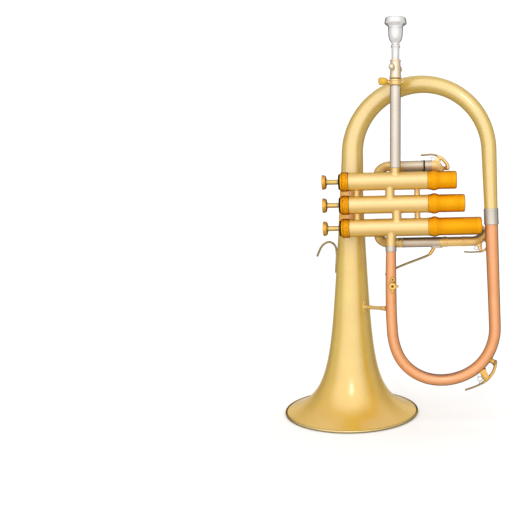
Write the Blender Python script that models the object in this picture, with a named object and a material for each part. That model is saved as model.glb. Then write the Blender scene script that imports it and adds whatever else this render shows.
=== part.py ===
# Flugelhorn standing on its bell: metres, +Z up.
# The valves lie along +X, the buttons at -X, the player's left side faces -Y.
# Lengths below are millimetres in the horn's own frame, whose Z axis is the
# bell's axis; the root empty then centres the whole horn over the origin.
import math

import bmesh
import bpy
from mathutils import Matrix, Vector

for old in list(bpy.data.objects):
    bpy.data.objects.remove(old, do_unlink=True)

MM = 0.001
GAP = 0.3                      # clearance between pieces that meet

# ---- whole horn -------------------------------------------------------------
CENTRE_X = 46.74               # bell axis to the middle of the horn
TUBE_Y = -38.0                 # plane of the mouthpipe and the front bow
# ---- bell -------------------------------------------------------------------
BELL_R = 80.0                  # rim radius
BELL_CUT = 250.0               # height where the bell meets the upper bow
BELL_WALL = 0.9
THROAT_R = 14.0                # flare: r = throat - taper*z + rise*k/(z+k)
THROAT_TAPER = 0.0185
FLARE_RISE = 66.0
FLARE_K = 20.0
RIM_LIFT = 1.6
# ---- bows -------------------------------------------------------------------
ARCH_C = (79.3, 309.6)
ARCH_R = 78.2
BOW_C = (107.4, 108.2)
BOW_R = 59.7
LEAN = math.atan(0.0476)       # outward lean of the long front leg
FERRULE_Z = (229.2, 247.4)
FRONT_FERRULE_Z = (198.1, 204.5)
TUBE_WALL = 0.8
# ---- valve block ------------------------------------------------------------
VALVE_O = (45.0, -35.0, 251.5)
VALVE_TILT = math.radians(1.35)
PITCH = 26.3
CASE_R = 10.2
CASE_BORE = 8.65
CASE_S = (-44.9, 44.6)         # casing ends along the valve axis
CAP_R = 10.9
STEM_R = 2.6
BUTTON_S = (-75.1, -70.1)
BUTTON_R = 8.2
BOTTOM_END = (77.4, 86.4, 105.0)
BOTTOM_R = 10.1
BOTTOM_RING_R = 11.7
STROKE = 12.5
PORT_Y = -2.6                  # port tubes sit a little to the front
# ---- valve slides -----------------------------------------------------------
SLIDE_R = 5.55
SLIDE_BORE = 4.95
LEG_R = 4.6
LEG_BORE = 4.0
NEAR_Y = 16.0                  # slide legs behind the valve axes
FAR_Y = 38.0
FAR_STEP = 14.0                # far ports sit this much nearer the bottom caps
S1_NEAR_N, S1_FAR_N, S1_FAR_Y = 43.45, 34.95, 28.4
S1_ELBOW_S, S1_ELBOW_R, S1_END_S, S1_CROOK_S = 2.5, 14.0, 40.7, 50.4
S3_NEAR_N, S3_FAR_N = -45.2, -28.5
S3_ELBOW_S, S3_ELBOW_R, S3_SLEEVE_S, S3_CROOK_S = -0.7, 11.5, 14.8, 94.9
S2_S = (-12.0, 14.0)
S2_END_Y, S2_BOW_Y = 29.0, 39.0
# ---- mouthpipe --------------------------------------------------------------
PIPE_X = 52.3
PIPE_R, PIPE_BORE = 5.75, 4.75
PIPE_Z = (292.8, 383.5)
INNER_R, INNER_BORE = 4.5, 3.9
CLAMP_Z = (384.0, 391.2)
RECEIVER_Z = (391.8, 412.3)
MOUTH_TOP = 457.9


# ---- materials --------------------------------------------------------------
def material(name, rgb, rough, metal):
    m = bpy.data.materials.new(name)
    m.use_nodes = True
    b = m.node_tree.nodes["Principled BSDF"]
    b.inputs["Base Color"].default_value = (*rgb, 1.0)
    b.inputs["Roughness"].default_value = rough
    b.inputs["Metallic"].default_value = metal
    m.diffuse_color = (*rgb, 1.0)
    return m


def brass(n):
    return material(n, (0.78, 0.58, 0.22), 0.38, 1.0)


def gold(n):
    return material(n, (0.90, 0.47, 0.05), 0.28, 1.0)


def copper(n):
    return material(n, (0.88, 0.46, 0.29), 0.36, 1.0)


def nickel(n):
    return material(n, (0.72, 0.68, 0.63), 0.25, 1.0)


def silver(n):
    return material(n, (0.86, 0.86, 0.86), 0.12, 1.0)


def felt(n):
    return material(n, (0.02, 0.02, 0.02), 0.95, 0.0)


def steel(n):
    return material(n, (0.55, 0.55, 0.56), 0.3, 1.0)


# ---- assembly empties -------------------------------------------------------
root = bpy.data.objects.new("horn_root", None)
bpy.context.collection.objects.link(root)
root.location = (-CENTRE_X * MM, 0.0, 0.0)

block = bpy.data.objects.new("valve_block", None)
bpy.context.collection.objects.link(block)
block.parent = root
block.location = Vector(VALVE_O) * MM
block.rotation_euler = (0.0, -VALVE_TILT, 0.0)


def place(name, bm, mat, at=(0, 0, 0), parent=root, rot=(0, 0, 0), helper=False):
    """Object from a bmesh in millimetres whose points are relative to `at`."""
    bmesh.ops.recalc_face_normals(bm, faces=bm.faces)
    bmesh.ops.scale(bm, vec=(MM, MM, MM), verts=bm.verts)
    me = bpy.data.meshes.new(name)
    bm.to_mesh(me)
    bm.free()
    me.shade_smooth()
    me.set_sharp_from_angle(angle=math.radians(38))
    ob = bpy.data.objects.new(name, me)
    bpy.context.collection.objects.link(ob)
    ob.parent = parent
    ob.location = Vector(at) * MM
    ob.rotation_euler = rot
    if helper:
        ob.hide_render = True
        ob.display_type = "WIRE"
    else:
        me.materials.append(mat(name))
    return ob


def combine(ob, other, how):
    m = ob.modifiers.new(how.lower(), "BOOLEAN")
    m.operation = how
    m.solver = "EXACT"
    m.object = other
    return ob


def cut(ob, other):
    return combine(ob, other, "DIFFERENCE")


def join(ob, other):
    return combine(ob, other, "UNION")


# ---- shape makers -----------------------------------------------------------
def turned(profile, segs, axis="Z", loop=False):
    """Spin a profile of (radius, height) round an axis."""
    bm = bmesh.new()
    to = {"Z": lambda r, h: (r, 0, h), "X": lambda r, h: (h, 0, r), "Y": lambda r, h: (r, h, 0)}[axis]
    ax = {"Z": (0, 0, 1), "X": (1, 0, 0), "Y": (0, 1, 0)}[axis]
    vs = [bm.verts.new(to(r, h)) for r, h in profile]
    es = [bm.edges.new((vs[i], vs[i + 1])) for i in range(len(vs) - 1)]
    if loop:
        es.append(bm.edges.new((vs[-1], vs[0])))
    bmesh.ops.spin(bm, geom=vs + es, cent=(0, 0, 0), axis=ax, angle=2 * math.pi, steps=segs, use_merge=True)
    bmesh.ops.remove_doubles(bm, verts=bm.verts, dist=0.0005)
    return bm


def pipe(r_out, r_in, h0, h1, segs, axis="Z"):
    return turned([(r_out, h0), (r_out, h1), (r_in, h1), (r_in, h0)], segs, axis, loop=True)


def rod(r, h0, h1, segs, axis="Z"):
    return turned([(0, h0), (r, h0), (r, h1), (0, h1)], segs, axis)


def swept(path, outer, bore=None, sides=12, start_normal=(0, 1, 0), section=(1.0, 1.0)):
    """Sweep a round (or stretched) section along a path of points.
    outer and bore give the radius at each point; with a bore the tube is open."""
    pts = [Vector(p) for p in path]
    n = len(pts)
    bm = bmesh.new()

    def tangent(i):
        a = pts[max(i - 1, 0)]
        b = pts[min(i + 1, n - 1)]
        return (b - a).normalized()

    normal = Vector(start_normal)
    rings, inner = [], []
    for i in range(n):
        t = tangent(i)
        normal = (normal - t * normal.dot(t)).normalized()
        side = t.cross(normal)
        for radii, store in ((outer, rings), (bore, inner)):
            if radii is None:
                continue
            ring = []
            for k in range(sides):
                a = 2 * math.pi * (k + 0.5) / sides
                off = normal * (math.cos(a) * section[0]) + side * (math.sin(a) * section[1])
                ring.append(bm.verts.new(pts[i] + off * radii[i]))
            store.append(ring)

    def skin(rr):
        for a, b in zip(rr, rr[1:]):
            for k in range(sides):
                j = (k + 1) % sides
                bm.faces.new((a[k], a[j], b[j], b[k]))

    skin(rings)
    if bore is None:
        bm.faces.new(rings[0])
        bm.faces.new(rings[-1])
    else:
        skin(inner)
        for e in (0, -1):
            for k in range(sides):
                j = (k + 1) % sides
                bm.faces.new((rings[e][k], rings[e][j], inner[e][j], inner[e][k]))
    return bm


def box(sx, sy, sz, at=(0, 0, 0), turn=None):
    bm = bmesh.new()
    bmesh.ops.create_cube(bm, size=1.0)
    bmesh.ops.scale(bm, vec=(sx, sy, sz), verts=bm.verts)
    if turn is not None:
        bmesh.ops.rotate(bm, cent=(0, 0, 0), matrix=turn, verts=bm.verts)
    bmesh.ops.translate(bm, vec=at, verts=bm.verts)
    return bm


def ball(r, at, u=10, v=7):
    bm = bmesh.new()
    bmesh.ops.create_uvsphere(bm, u_segments=u, v_segments=v, radius=r)
    bmesh.ops.translate(bm, vec=at, verts=bm.verts)
    return bm


def arc(centre, radius, a0, a1, steps):
    """Points of an arc in the XZ plane, angles in radians from +X."""
    return [
        (centre[0] + radius * math.cos(a0 + (a1 - a0) * i / steps), centre[1] + radius * math.sin(a0 + (a1 - a0) * i / steps))
        for i in range(steps + 1)
    ]


def smoothed(stations, value):
    """Piecewise linear reading of (key, value) stations."""
    if value <= stations[0][0]:
        return stations[0][1]
    for (k0, v0), (k1, v1) in zip(stations, stations[1:]):
        if value <= k1:
            return v0 + (v1 - v0) * (value - k0) / (k1 - k0)
    return stations[-1][1]


def curve_through(points, per):
    """Catmull-Rom points through a short list of control points."""
    p = [Vector(q) for q in points]
    p = [p[0] * 2 - p[1]] + p + [p[-1] * 2 - p[-2]]
    out = []
    for i in range(1, len(p) - 2):
        for k in range(per):
            t = k / per
            a, b, c, d = p[i - 1], p[i], p[i + 1], p[i + 2]
            out.append(0.5 * ((2 * b) + (c - a) * t + (2 * a - 5 * b + 4 * c - d) * t * t + (3 * b - a - 3 * c + d) * t ** 3))
    out.append(p[-2])
    return out


# ---- bell -------------------------------------------------------------------
def bell_r(z):
    return THROAT_R - THROAT_TAPER * z + FLARE_RISE * FLARE_K / (z + FLARE_K)


def bell_profile():
    steps = 12
    heights = [1.9 * (BELL_CUT - RIM_LIFT) ** (i / steps) / 1.9 ** (i / steps) for i in range(steps + 1)]
    flare = [(bell_r(h), h + RIM_LIFT) for h in heights]
    flare[-1] = (flare[-1][0], BELL_CUT - 0.1)
    inside = []
    for i, (r, z) in enumerate(flare):
        a = flare[max(i - 1, 0)]
        b = flare[min(i + 1, len(flare) - 1)]
        t = Vector((b[0] - a[0], b[1] - a[1])).normalized()
        inside.append((r - t.y * BELL_WALL, z + t.x * BELL_WALL))
    inside[-1] = (flare[-1][0] - BELL_WALL, BELL_CUT - 0.1)
    # rolled rim: a bead with a flat underside that the horn stands on
    bead = [(76.6, 0.0), (79.2, 0.0), (BELL_R, 0.8), (BELL_R, 1.7), (79.2, 2.6), (77.4, 2.8)]
    return bead + flare + inside[::-1]


place("bell", turned(bell_profile(), 24, "Z", loop=True), brass)


# ---- upper bow: bell throat, over the arch, down to the ferrule -------------
def leg_x(z):
    """Centre line of the long front leg, which leans outward going down."""
    top = (ARCH_C[0] + ARCH_R * math.cos(LEAN), ARCH_C[1] + ARCH_R * math.sin(LEAN))
    return top[0] + math.tan(LEAN) * (top[1] - z)


def arch_depth(x):
    t = min(max((x - 1.0) / (leg_x(313.0) - 1.0), 0.0), 1.0)
    return TUBE_Y * t * t * (3 - 2 * t)


JOINT_Z = (FERRULE_Z[0] + FERRULE_Z[1]) / 2
up = [(0.0, BELL_CUT + 0.15), (0.0, 258.0), (0.45, 278.0), (0.9, 295.0)]
over = arc(ARCH_C, ARCH_R, math.pi, LEAN, 15)
down = [(leg_x(z), z) for z in (292.0, 268.0, JOINT_Z + 0.15)]
arch_path = [(x, arch_depth(x), z) for x, z in up + over + down]
ARCH_STATIONS = [(0.0, 14.25), (0.14, 12.75), (0.20, 12.3), (0.33, 11.3), (0.50, 9.75), (0.66, 9.1), (0.80, 8.55), (0.90, 8.0), (1.0, 7.4)]


def along(path):
    total = [0.0]
    for a, b in zip(path, path[1:]):
        total.append(total[-1] + (Vector(b) - Vector(a)).length)
    return [t / total[-1] for t in total]


arch_radii = [smoothed(ARCH_STATIONS, t) for t in along(arch_path)]
place("bell_bow", swept(arch_path, arch_radii, [r - TUBE_WALL for r in arch_radii], 12), brass)

place("bow_ferrule", pipe(8.2, 7.75, FERRULE_Z[0] - JOINT_Z, FERRULE_Z[1] - JOINT_Z, 16), nickel,
      at=(leg_x(JOINT_Z), TUBE_Y, JOINT_Z), rot=(0, -LEAN, 0))

# ---- front bow --------------------------------------------------------------
FRONT_JOINT_Z = (FRONT_FERRULE_Z[0] + FRONT_FERRULE_Z[1]) / 2
LEFT_X = BOW_C[0] - BOW_R
front = [(leg_x(z), z) for z in (JOINT_Z - 0.15, 205.0, 170.0, 138.0)]
# the bow is not a true half circle: it is eased in at the left and flattened below
BOW_EASE = [(-180, -1.7), (-172, -2.0), (-164, -1.8), (-156, -1.3), (-148, -0.6), (-140, 0.1), (-124, 0.35), (-108, 0.0), (-92, -0.7), (-76, -1.1), (-68, -1.1),
            (-52, -0.65), (-44, -0.45), (-10, -0.4), (0, 0.0), (10, 0.0)]


def eased_bow(angle):
    d = math.degrees(angle)
    for (a0, e0), (a1, e1) in zip(BOW_EASE, BOW_EASE[1:]):
        if d <= a1:
            return e0 + (e1 - e0) * max(d - a0, 0.0) / (a1 - a0)
    return BOW_EASE[-1][1]


for i in range(16):
    a = LEAN + (-math.pi - LEAN) * i / 15
    rho = BOW_R + eased_bow(a)
    front.append((BOW_C[0] + rho * math.cos(a), BOW_C[1] + rho * math.sin(a)))
front += [(LEFT_X + dx, z) for dx, z in ((0.8, 121.0), (0.3, 141.0), (0.0, 166.0), (0.0, FRONT_JOINT_Z - 0.15))]
front_path = [(x, TUBE_Y, z) for x, z in front]
FRONT_STATIONS = [(0.0, 7.35), (0.10, 7.15), (0.20, 6.85), (0.33, 6.65), (0.52, 6.4), (0.75, 6.05), (0.90, 5.9), (0.985, 5.6), (1.0, 5.45)]
front_radii = [smoothed(FRONT_STATIONS, t) for t in along(front_path)]
place("front_bow", swept(front_path, front_radii, [r - TUBE_WALL for r in front_radii], 12), copper)
place("front_bow_ferrule", pipe(6.2, 5.8, FRONT_FERRULE_Z[0], FRONT_FERRULE_Z[1], 16), nickel, at=(LEFT_X, TUBE_Y, 0))


# ---- valve casings and what they hold ---------------------------------------
def axis_cutter(name, n, r=CASE_R + 0.25):
    """Clearance cylinder round one casing, used to fit tubes to its wall."""
    return place(name, rod(r, CASE_S[0] - 5, CASE_S[1] + 5, 20, "X"), None, at=(0, 0, n), parent=block, helper=True)


ROWS = (PITCH, 0.0, -PITCH)
around = [axis_cutter("around_casing_%d" % (i + 1), n) for i, n in enumerate(ROWS)]

for i, n in enumerate(ROWS):
    k = str(i + 1)
    s0, s1 = CASE_S
    at = (0, 0, n)
    place("valve_casing_" + k, pipe(CASE_R, CASE_BORE, s0, s1, 16, "X"), brass, at=at, parent=block)
    place("top_cap_" + k, turned([
        (CAP_R, s0 - GAP), (CAP_R, s0 - 8.4), (CAP_R - 1.0, s0 - 9.6), (3.0, s0 - 9.6),
        (3.0, s0 - 6.6), (8.4, s0 - 6.6), (8.4, s0 - GAP)], 16, "X", loop=True), gold, at=at, parent=block)
    place("cap_felt_" + k, pipe(8.7, 3.0, s0 - 11.7, s0 - 9.8, 14, "X"), felt, at=at, parent=block)
    # piston with its stem, one turned piece
    place("piston_" + k, turned([
        (0, -69.8), (STEM_R, -69.8), (STEM_R, -44.0), (8.35, -44.0), (8.35, 22.0), (3.0, 22.0), (3.0, 20.8), (7.5, 20.8), (7.5, -41.5),
        (0, -41.5)], 16, "X"),
        nickel, at=at, parent=block)
    b0, b1 = BUTTON_S
    place("finger_button_" + k, turned([
        (0, b0 + 1.1), (BUTTON_R - 2.2, b0 + 0.5), (BUTTON_R - 0.8, b0), (BUTTON_R, b0 + 0.9),
        (BUTTON_R - 0.4, b1 - 1.4), (4.6, b1 - 0.3), (0, b1)], 16, "X"), gold, at=at, parent=block)
    end = BOTTOM_END[i]
    place("bottom_cap_" + k, turned([
        (CASE_R + 0.1, s1 + GAP), (CASE_R + 0.5, s1 + 1.9), (BOTTOM_RING_R - 0.5, s1 + 4.0), (BOTTOM_RING_R, s1 + 6.5),
        (BOTTOM_RING_R - 0.5, s1 + 9.0), (BOTTOM_R, s1 + 12.0), (BOTTOM_R, end - 1.6), (BOTTOM_R - 1.6, end),
        (2.0, end), (2.0, end - 2.5), (7.6, end - 2.5), (7.6, 60.5), (2.5, 60.5), (2.5, 58.0), (8.0, 58.0), (8.0, s1 + GAP)],
        16, "X", loop=True), gold, at=at, parent=block)
    # return spring between the piston and the shelf in the bottom cap
    turns, coil_r, wire = 5, 5.6, 0.55
    steps = turns * 8
    coil = [(23.0 + 34.2 * j / steps, coil_r * math.cos(2 * math.pi * turns * j / steps), coil_r * math.sin(2 * math.pi * turns * j / steps))
            for j in range(steps + 1)]
    place("valve_spring_" + k, swept(coil, [wire] * len(coil), None, 4, (0, 1, 0)), steel, at=at, parent=block)

# ---- braces between the casings ---------------------------------------------
for label, n in (("12", PITCH / 2), ("23", -PITCH / 2)):
    half = PITCH / 2 - CASE_R - GAP
    for end, s, r in (("button_end", -36.0, 3.9), ("cap_end", 32.4, 3.0)):
        place("casing_brace_%s_%s" % (label, end), turned([
            (0, -half), (r, -half), (r, -half + 0.9), (r - 0.5, -half + 1.3), (r - 0.5, half - 1.3), (r, half - 0.9), (r, half), (0, half)],
            10, "Z"), brass, at=(s, 0, n), parent=block)


# ---- wind way into, between and out of the valves ---------------------------
def block_point(x, z):
    """Valve block coordinates (s, n) of a point given in the horn's frame."""
    c, s = math.cos(VALVE_TILT), math.sin(VALVE_TILT)
    dx, dz = x - VALVE_O[0], z - VALVE_O[2]
    return dx * c + dz * s, -dx * s + dz * c


knuckle = place("entry_knuckle", turned([
    (5.1, -15.0), (5.1, -6.0), (5.8, -2.2), (5.8, -0.3), (4.5, -0.3), (4.5, -15.0)], 14, "Z", loop=True), brass,
    at=(PIPE_X, TUBE_Y, PIPE_Z[0]))
cut(knuckle, around[0])
for label, s, n, pair in (("port_tube_12", 1.6, PITCH / 2, (0, 1)), ("port_tube_23", 8.9, -PITCH / 2, (1, 2))):
    port = place(label, pipe(4.8, 4.0, -PITCH / 2, PITCH / 2, 14), brass, at=(s, PORT_Y, n), parent=block)
    cut(port, around[pair[0]])
    cut(port, around[pair[1]])
exit_top = 226.0
knuckle = place("exit_knuckle", pipe(5.3, 4.5, FRONT_JOINT_Z + 0.15 - exit_top, 0.0, 14), brass, at=(LEFT_X, TUBE_Y, exit_top))
cut(knuckle, around[2])


# ---- valve slides -----------------------------------------------------------
def slide_tube(elbow_s, elbow_r, end_s, toward, r_leg=None, leg_end=None):
    """Leg along +s from (0,0,0), bent at its start towards a casing axis.
    toward is the vector from the leg to the casing axis in (y, n)."""
    dist = math.hypot(*toward)
    d = Vector((0, toward[0] / dist, toward[1] / dist))
    path = []
    straight = dist - elbow_r - 6.0
    if straight > 0.5:
        path.append(Vector((elbow_s - elbow_r, 0, 0)) + d * (elbow_r + straight))
    for j in range(6):
        a = math.radians(90 - 18 * j)
        path.append(Vector((elbow_s - elbow_r * math.sin(a), 0, 0)) + d * (elbow_r * (1 - math.cos(a))))
    path.append(Vector((end_s, 0, 0)))
    outer = [SLIDE_R] * len(path)
    bore = [SLIDE_BORE] * len(path)
    if r_leg is not None:
        path += [Vector((end_s + 0.01, 0, 0)), Vector((leg_end, 0, 0))]
        bore = [LEG_BORE] * len(path)
        outer += [r_leg, r_leg]
    return swept(path, outer, bore, 10, (0, d.z, -d.y))


def slide_bow(start_s, step_s, crook_s, span, r_in_leg, bore_leg, r_out, bore_out):
    """Return bow: two legs along +s joined by a half turn; span is the vector
    from the near leg to the far leg in (y, n)."""
    dist = math.hypot(*span)
    w = Vector((0, span[0] / dist, span[1] / dist))
    r = dist / 2
    near = [Vector((start_s, 0, 0))]
    outer, bore = [r_in_leg], [bore_leg]
    if step_s is not None:
        near += [Vector((step_s, 0, 0)), Vector((step_s + 0.01, 0, 0))]
        outer += [r_in_leg, r_out]
        bore += [bore_leg, bore_leg]
    turn = []
    for j in range(9):
        a = math.pi * j / 8
        turn.append(Vector((crook_s + r * math.sin(a), 0, 0)) + w * (r * (1 - math.cos(a))))
    far = [p + w * dist for p in near[::-1]]
    path = near + turn + far
    outer = outer + [r_out] * len(turn) + outer[::-1]
    bore = bore + [bore_out] * len(turn) + bore[::-1]
    return swept(path, outer, bore, 10, (0, -w.z, w.y))


# first slide, above the first casing
casing1, casing3 = (0.0, PITCH), (0.0, -PITCH)
for label, y, n, step in (("near", NEAR_Y, S1_NEAR_N, 0.0), ("far", S1_FAR_Y, S1_FAR_N, FAR_STEP)):
    tube = place("slide_1_tube_" + label, slide_tube(S1_ELBOW_S + step, S1_ELBOW_R, S1_END_S, (casing1[0] - y, casing1[1] - n)), brass,
                 at=(0, y, n), parent=block)
    cut(tube, around[0])
S1_SPAN = (S1_FAR_Y - NEAR_Y, S1_FAR_N - S1_NEAR_N)
slide1 = place("slide_1_bow", slide_bow(17.5, S1_END_S + GAP, S1_CROOK_S, S1_SPAN, LEG_R, LEG_BORE, SLIDE_R, LEG_BORE), brass,
               at=(0, NEAR_Y, S1_NEAR_N), parent=block)

# third slide, below the third casing: its long sleeves ride on fixed legs
for label, y, n, step in (("near", NEAR_Y, S3_NEAR_N, 0.0), ("far", FAR_Y, S3_FAR_N, FAR_STEP)):
    tube = place("slide_3_tube_" + label,
                 slide_tube(S3_ELBOW_S + step, S3_ELBOW_R, S3_SLEEVE_S - GAP, (casing3[0] - y, casing3[1] - n), LEG_R, 62.0), brass,
                 at=(0, y, n), parent=block)
    cut(tube, around[2])
S3_SPAN = (FAR_Y - NEAR_Y, S3_FAR_N - S3_NEAR_N)
slide3 = place("slide_3_bow", slide_bow(S3_SLEEVE_S, None, S3_CROOK_S, S3_SPAN, 5.75, SLIDE_BORE, 5.75, SLIDE_BORE), brass,
               at=(0, NEAR_Y, S3_NEAR_N), parent=block)

# second slide, a short crook straight out behind the second casing
for label, s in (("left", S2_S[0]), ("right", S2_S[1])):
    tube = place("slide_2_tube_" + label, pipe(SLIDE_R, SLIDE_BORE, 4.0, S2_END_Y, 12, "Y"), brass, at=(s, 0, 0), parent=block)
    cut(tube, around[1])
r2 = (S2_S[1] - S2_S[0]) / 2
leg2 = [(-r2, 16.0, 0), (-r2, S2_END_Y + GAP, 0), (-r2, S2_END_Y + GAP + 0.01, 0)]
turn2 = [(-r2 * math.cos(math.pi * j / 8), S2_BOW_Y + r2 * math.sin(math.pi * j / 8), 0) for j in range(9)]
back2 = [(-x, y, z) for x, y, z in leg2[::-1]]
out2 = [LEG_R, LEG_R, SLIDE_R] + [SLIDE_R] * 9 + [SLIDE_R, LEG_R, LEG_R]
place("slide_2_bow", swept(leg2 + turn2 + back2, out2, [LEG_BORE] * len(out2), 12, (0, 0, 1)), brass,
      at=((S2_S[0] + S2_S[1]) / 2, 0, 0), parent=block)

# finger hook of the third slide: a bent strip under the near sleeve
HOOK_Y = VALVE_O[1] + NEAR_Y
hook = curve_through([(97.1, 0, 201.2), (95.0, 0, 196.9), (90.8, 0, 192.0), (82.2, 0, 188.3), (64.1, 0, 181.4), (54.0, 0, 177.1), (40.6, 0, 169.2)], 2)
place("slide_3_finger_hook", swept([p - Vector((96.0, 0, 206.0)) for p in hook], [1.0] * len(hook), None, 4, (0, 1, 0), (5.0, 1.5)), brass,
      at=(96.0, HOOK_Y, 206.0))


# ---- water keys -------------------------------------------------------------
def water_key(name, pivot, spine, pad, pad_dir, thick=1.15):
    """Lever on a hinge pin along Y: a bent bar, its barrel and a cork cup."""
    p = Vector(pivot)
    pts = curve_through([(x - p.x, 0, z - p.z) for x, z in spine], 2)
    bar = place(name, swept(pts, [thick] * len(pts), None, 4, (0, 1, 0), (2.2, 1.0)), brass, at=pivot)
    join(bar, place(name + "_barrel", rod(1.9, -1.7, 1.7, 12, "Y"), None, at=pivot, helper=True))
    cup = rod(2.6, 0.0, 2.0, 10, "Z")
    d = Vector(pad_dir).normalized()
    bmesh.ops.rotate(cup, cent=(0, 0, 0), matrix=d.to_track_quat("Z", "Y").to_matrix(), verts=cup.verts)
    bmesh.ops.translate(cup, vec=Vector(pad) - p, verts=cup.verts)
    join(bar, place(name + "_cup", cup, None, at=pivot, helper=True))
    cut(bar, place(name + "_pinhole", rod(1.05, -4, 4, 12, "Y"), None, at=pivot, helper=True))
    return bar


def key_saddle(name, pivot, base, width=7.0):
    """Forked post with the hinge pin, standing on its tube along base->pivot."""
    p, b = Vector(pivot), Vector(base)
    d = p - b
    h = d.length + 1.9
    turn = d.normalized().to_track_quat("Z", "Y").to_matrix()
    turn = Matrix((Vector((0, 1, 0)).cross(d.normalized()), Vector((0, 1, 0)), d.normalized())).transposed()
    post = place(name, box(4.2, width, h, d.normalized() * (h / 2) + b - p, turn), brass, at=pivot)
    slot = box(8.0, 3.9, 12.0, d.normalized() * 2.9, turn)
    cut(post, place(name + "_slot", slot, None, at=pivot, helper=True))
    join(post, place(name + "_pin", rod(0.8, -width / 2 + 0.4, width / 2 - 0.4, 10, "Y"), None, at=pivot, helper=True))
    return post


# on the front bow, at the lowest run of the tubing
MAIN_PIVOT = (158.1, TUBE_Y, 51.0)
MAIN_FOOT_AT = math.radians(-46.0)
main_dir = Vector((math.cos(MAIN_FOOT_AT), 0, math.sin(MAIN_FOOT_AT)))
main_foot = Vector((BOW_C[0], TUBE_Y, BOW_C[1])) + main_dir * (BOW_R + 6.9)
key_saddle("main_key_saddle", MAIN_PIVOT, main_foot)
water_key("main_water_key", MAIN_PIVOT,
          [(168.6, 69.6), (167.8, 65.2), (166.1, 59.9), (160.4, 51.6), (156.4, 47.8), (148.6, 43.2), (134.3, 37.7)],
          (168.1, TUBE_Y, 69.0), (-0.843, 0, 0.537))

# on the first slide's crook
KEY1_PIVOT = (102.5, -16.0, 303.6)
key_saddle("slide_1_key_saddle", KEY1_PIVOT, (100.8, -16.0, 300.9))
water_key("slide_1_water_key", KEY1_PIVOT,
          [(82.1, 307.6), (94.2, 308.5), (102.8, 305.7), (108.6, 301.2), (112.1, 296.4), (112.7, 292.2)],
          (112.1, -15.0, 293.4), (-0.97, 0.2, -0.1))

# on the third slide's crook
KEY3_PIVOT = (151.2, -20.2, 199.0)
key_saddle("slide_3_key_saddle", KEY3_PIVOT, (150.8, -20.2, 204.2))
water_key("slide_3_water_key", KEY3_PIVOT,
          [(132.8, 196.2), (139.8, 195.8), (146.2, 196.2), (151.6, 196.6), (155.6, 197.9), (158.3, 200.8), (159.3, 204.6), (159.0, 208.4), (157.8, 211.4)],
          (158.2, -20.2, 210.0), (-0.75, 0.62, 0.22))

# ---- mouthpipe, clamp, receiver and mouthpiece ------------------------------
PIPE_AT = (PIPE_X, TUBE_Y, 0)
place("leadpipe_outer_tube", pipe(PIPE_R, PIPE_BORE, PIPE_Z[0], PIPE_Z[1], 16), nickel, at=PIPE_AT)
place("leadpipe_inner_tube", pipe(INNER_R, INNER_BORE, 335.0, RECEIVER_Z[0] - GAP, 16), nickel, at=PIPE_AT)

CLAMP_MID = (CLAMP_Z[0] + CLAMP_Z[1]) / 2
half = (CLAMP_Z[1] - CLAMP_Z[0]) / 2
ring = place("clamp_ring", turned([(6.4, -half), (7.2, -half + 0.8), (7.2, half - 0.8), (6.4, half), (4.9, half), (4.9, -half)], 16, "Z", loop=True),
             brass, at=(PIPE_X, TUBE_Y, CLAMP_MID))
join(ring, place("clamp_boss", rod(2.9, -8.4, -6.2, 12, "X"), None, at=(PIPE_X, TUBE_Y, CLAMP_MID), helper=True))
join(ring, place("clamp_ear", rod(1.9, 6.4, 9.4, 10, "X"), None, at=(PIPE_X, TUBE_Y, CLAMP_MID), helper=True))
cut(ring, place("clamp_thread", rod(1.9, -14.0, -3.0, 12, "X"), None, at=(PIPE_X, TUBE_Y, CLAMP_MID), helper=True))

# thumb screw: shank along X with a flat oval thumb plate
screw = place("clamp_screw", turned([
    (0, -19.2), (1.6, -19.0), (3.9, -17.2), (4.5, -14.2), (4.0, -11.0), (2.3, -9.2), (2.3, -8.7), (1.55, -8.7), (1.55, -5.4), (0, -5.4)],
    14, "X"), gold, at=(PIPE_X, TUBE_Y, CLAMP_MID))
for side in (-1, 1):
    cut(screw, place("clamp_flat_%d" % (side + 1), box(11.4, 6.0, 12.0, (-14.8, side * 4.3, 0)), None, at=(PIPE_X, TUBE_Y, CLAMP_MID), helper=True))

receiver = place("mouthpiece_receiver", turned([
    (6.3, RECEIVER_Z[0]), (6.6, RECEIVER_Z[0] + 0.8), (5.9, RECEIVER_Z[0] + 9.0), (5.6, RECEIVER_Z[1] - 1.2), (5.9, RECEIVER_Z[1]),
    (4.8, RECEIVER_Z[1]), (4.35, RECEIVER_Z[0])], 16, "Z", loop=True), brass, at=PIPE_AT)
for k, at in (("a", (-4.1, -7.6, 403.5)), ("b", (4.1, 7.6, 403.0))):
    join(receiver, place("receiver_knob_" + k, ball(3.4, at), None, at=PIPE_AT, helper=True))

top = MOUTH_TOP
place("mouthpiece", turned([
    (8.3, top - 0.9), (9.4, top - 0.1), (10.6, top), (11.6, top - 0.9), (11.9, top - 3.0), (12.3, top - 7.6), (11.6, top - 9.2), (8.7, top - 11.2),
    (8.4, top - 19.5), (7.6, top - 23.0), (4.9, top - 26.4), (4.2, top - 29.6), (5.0, top - 32.3), (4.3, top - 34.0), (4.15, RECEIVER_Z[1]),
    (3.85, 395.0), (3.0, 395.0), (2.0, top - 30.0), (2.2, top - 22.0), (6.2, top - 15.0), (7.8, top - 8.0)],
    16, "Z", loop=True), silver, at=PIPE_AT)

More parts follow.
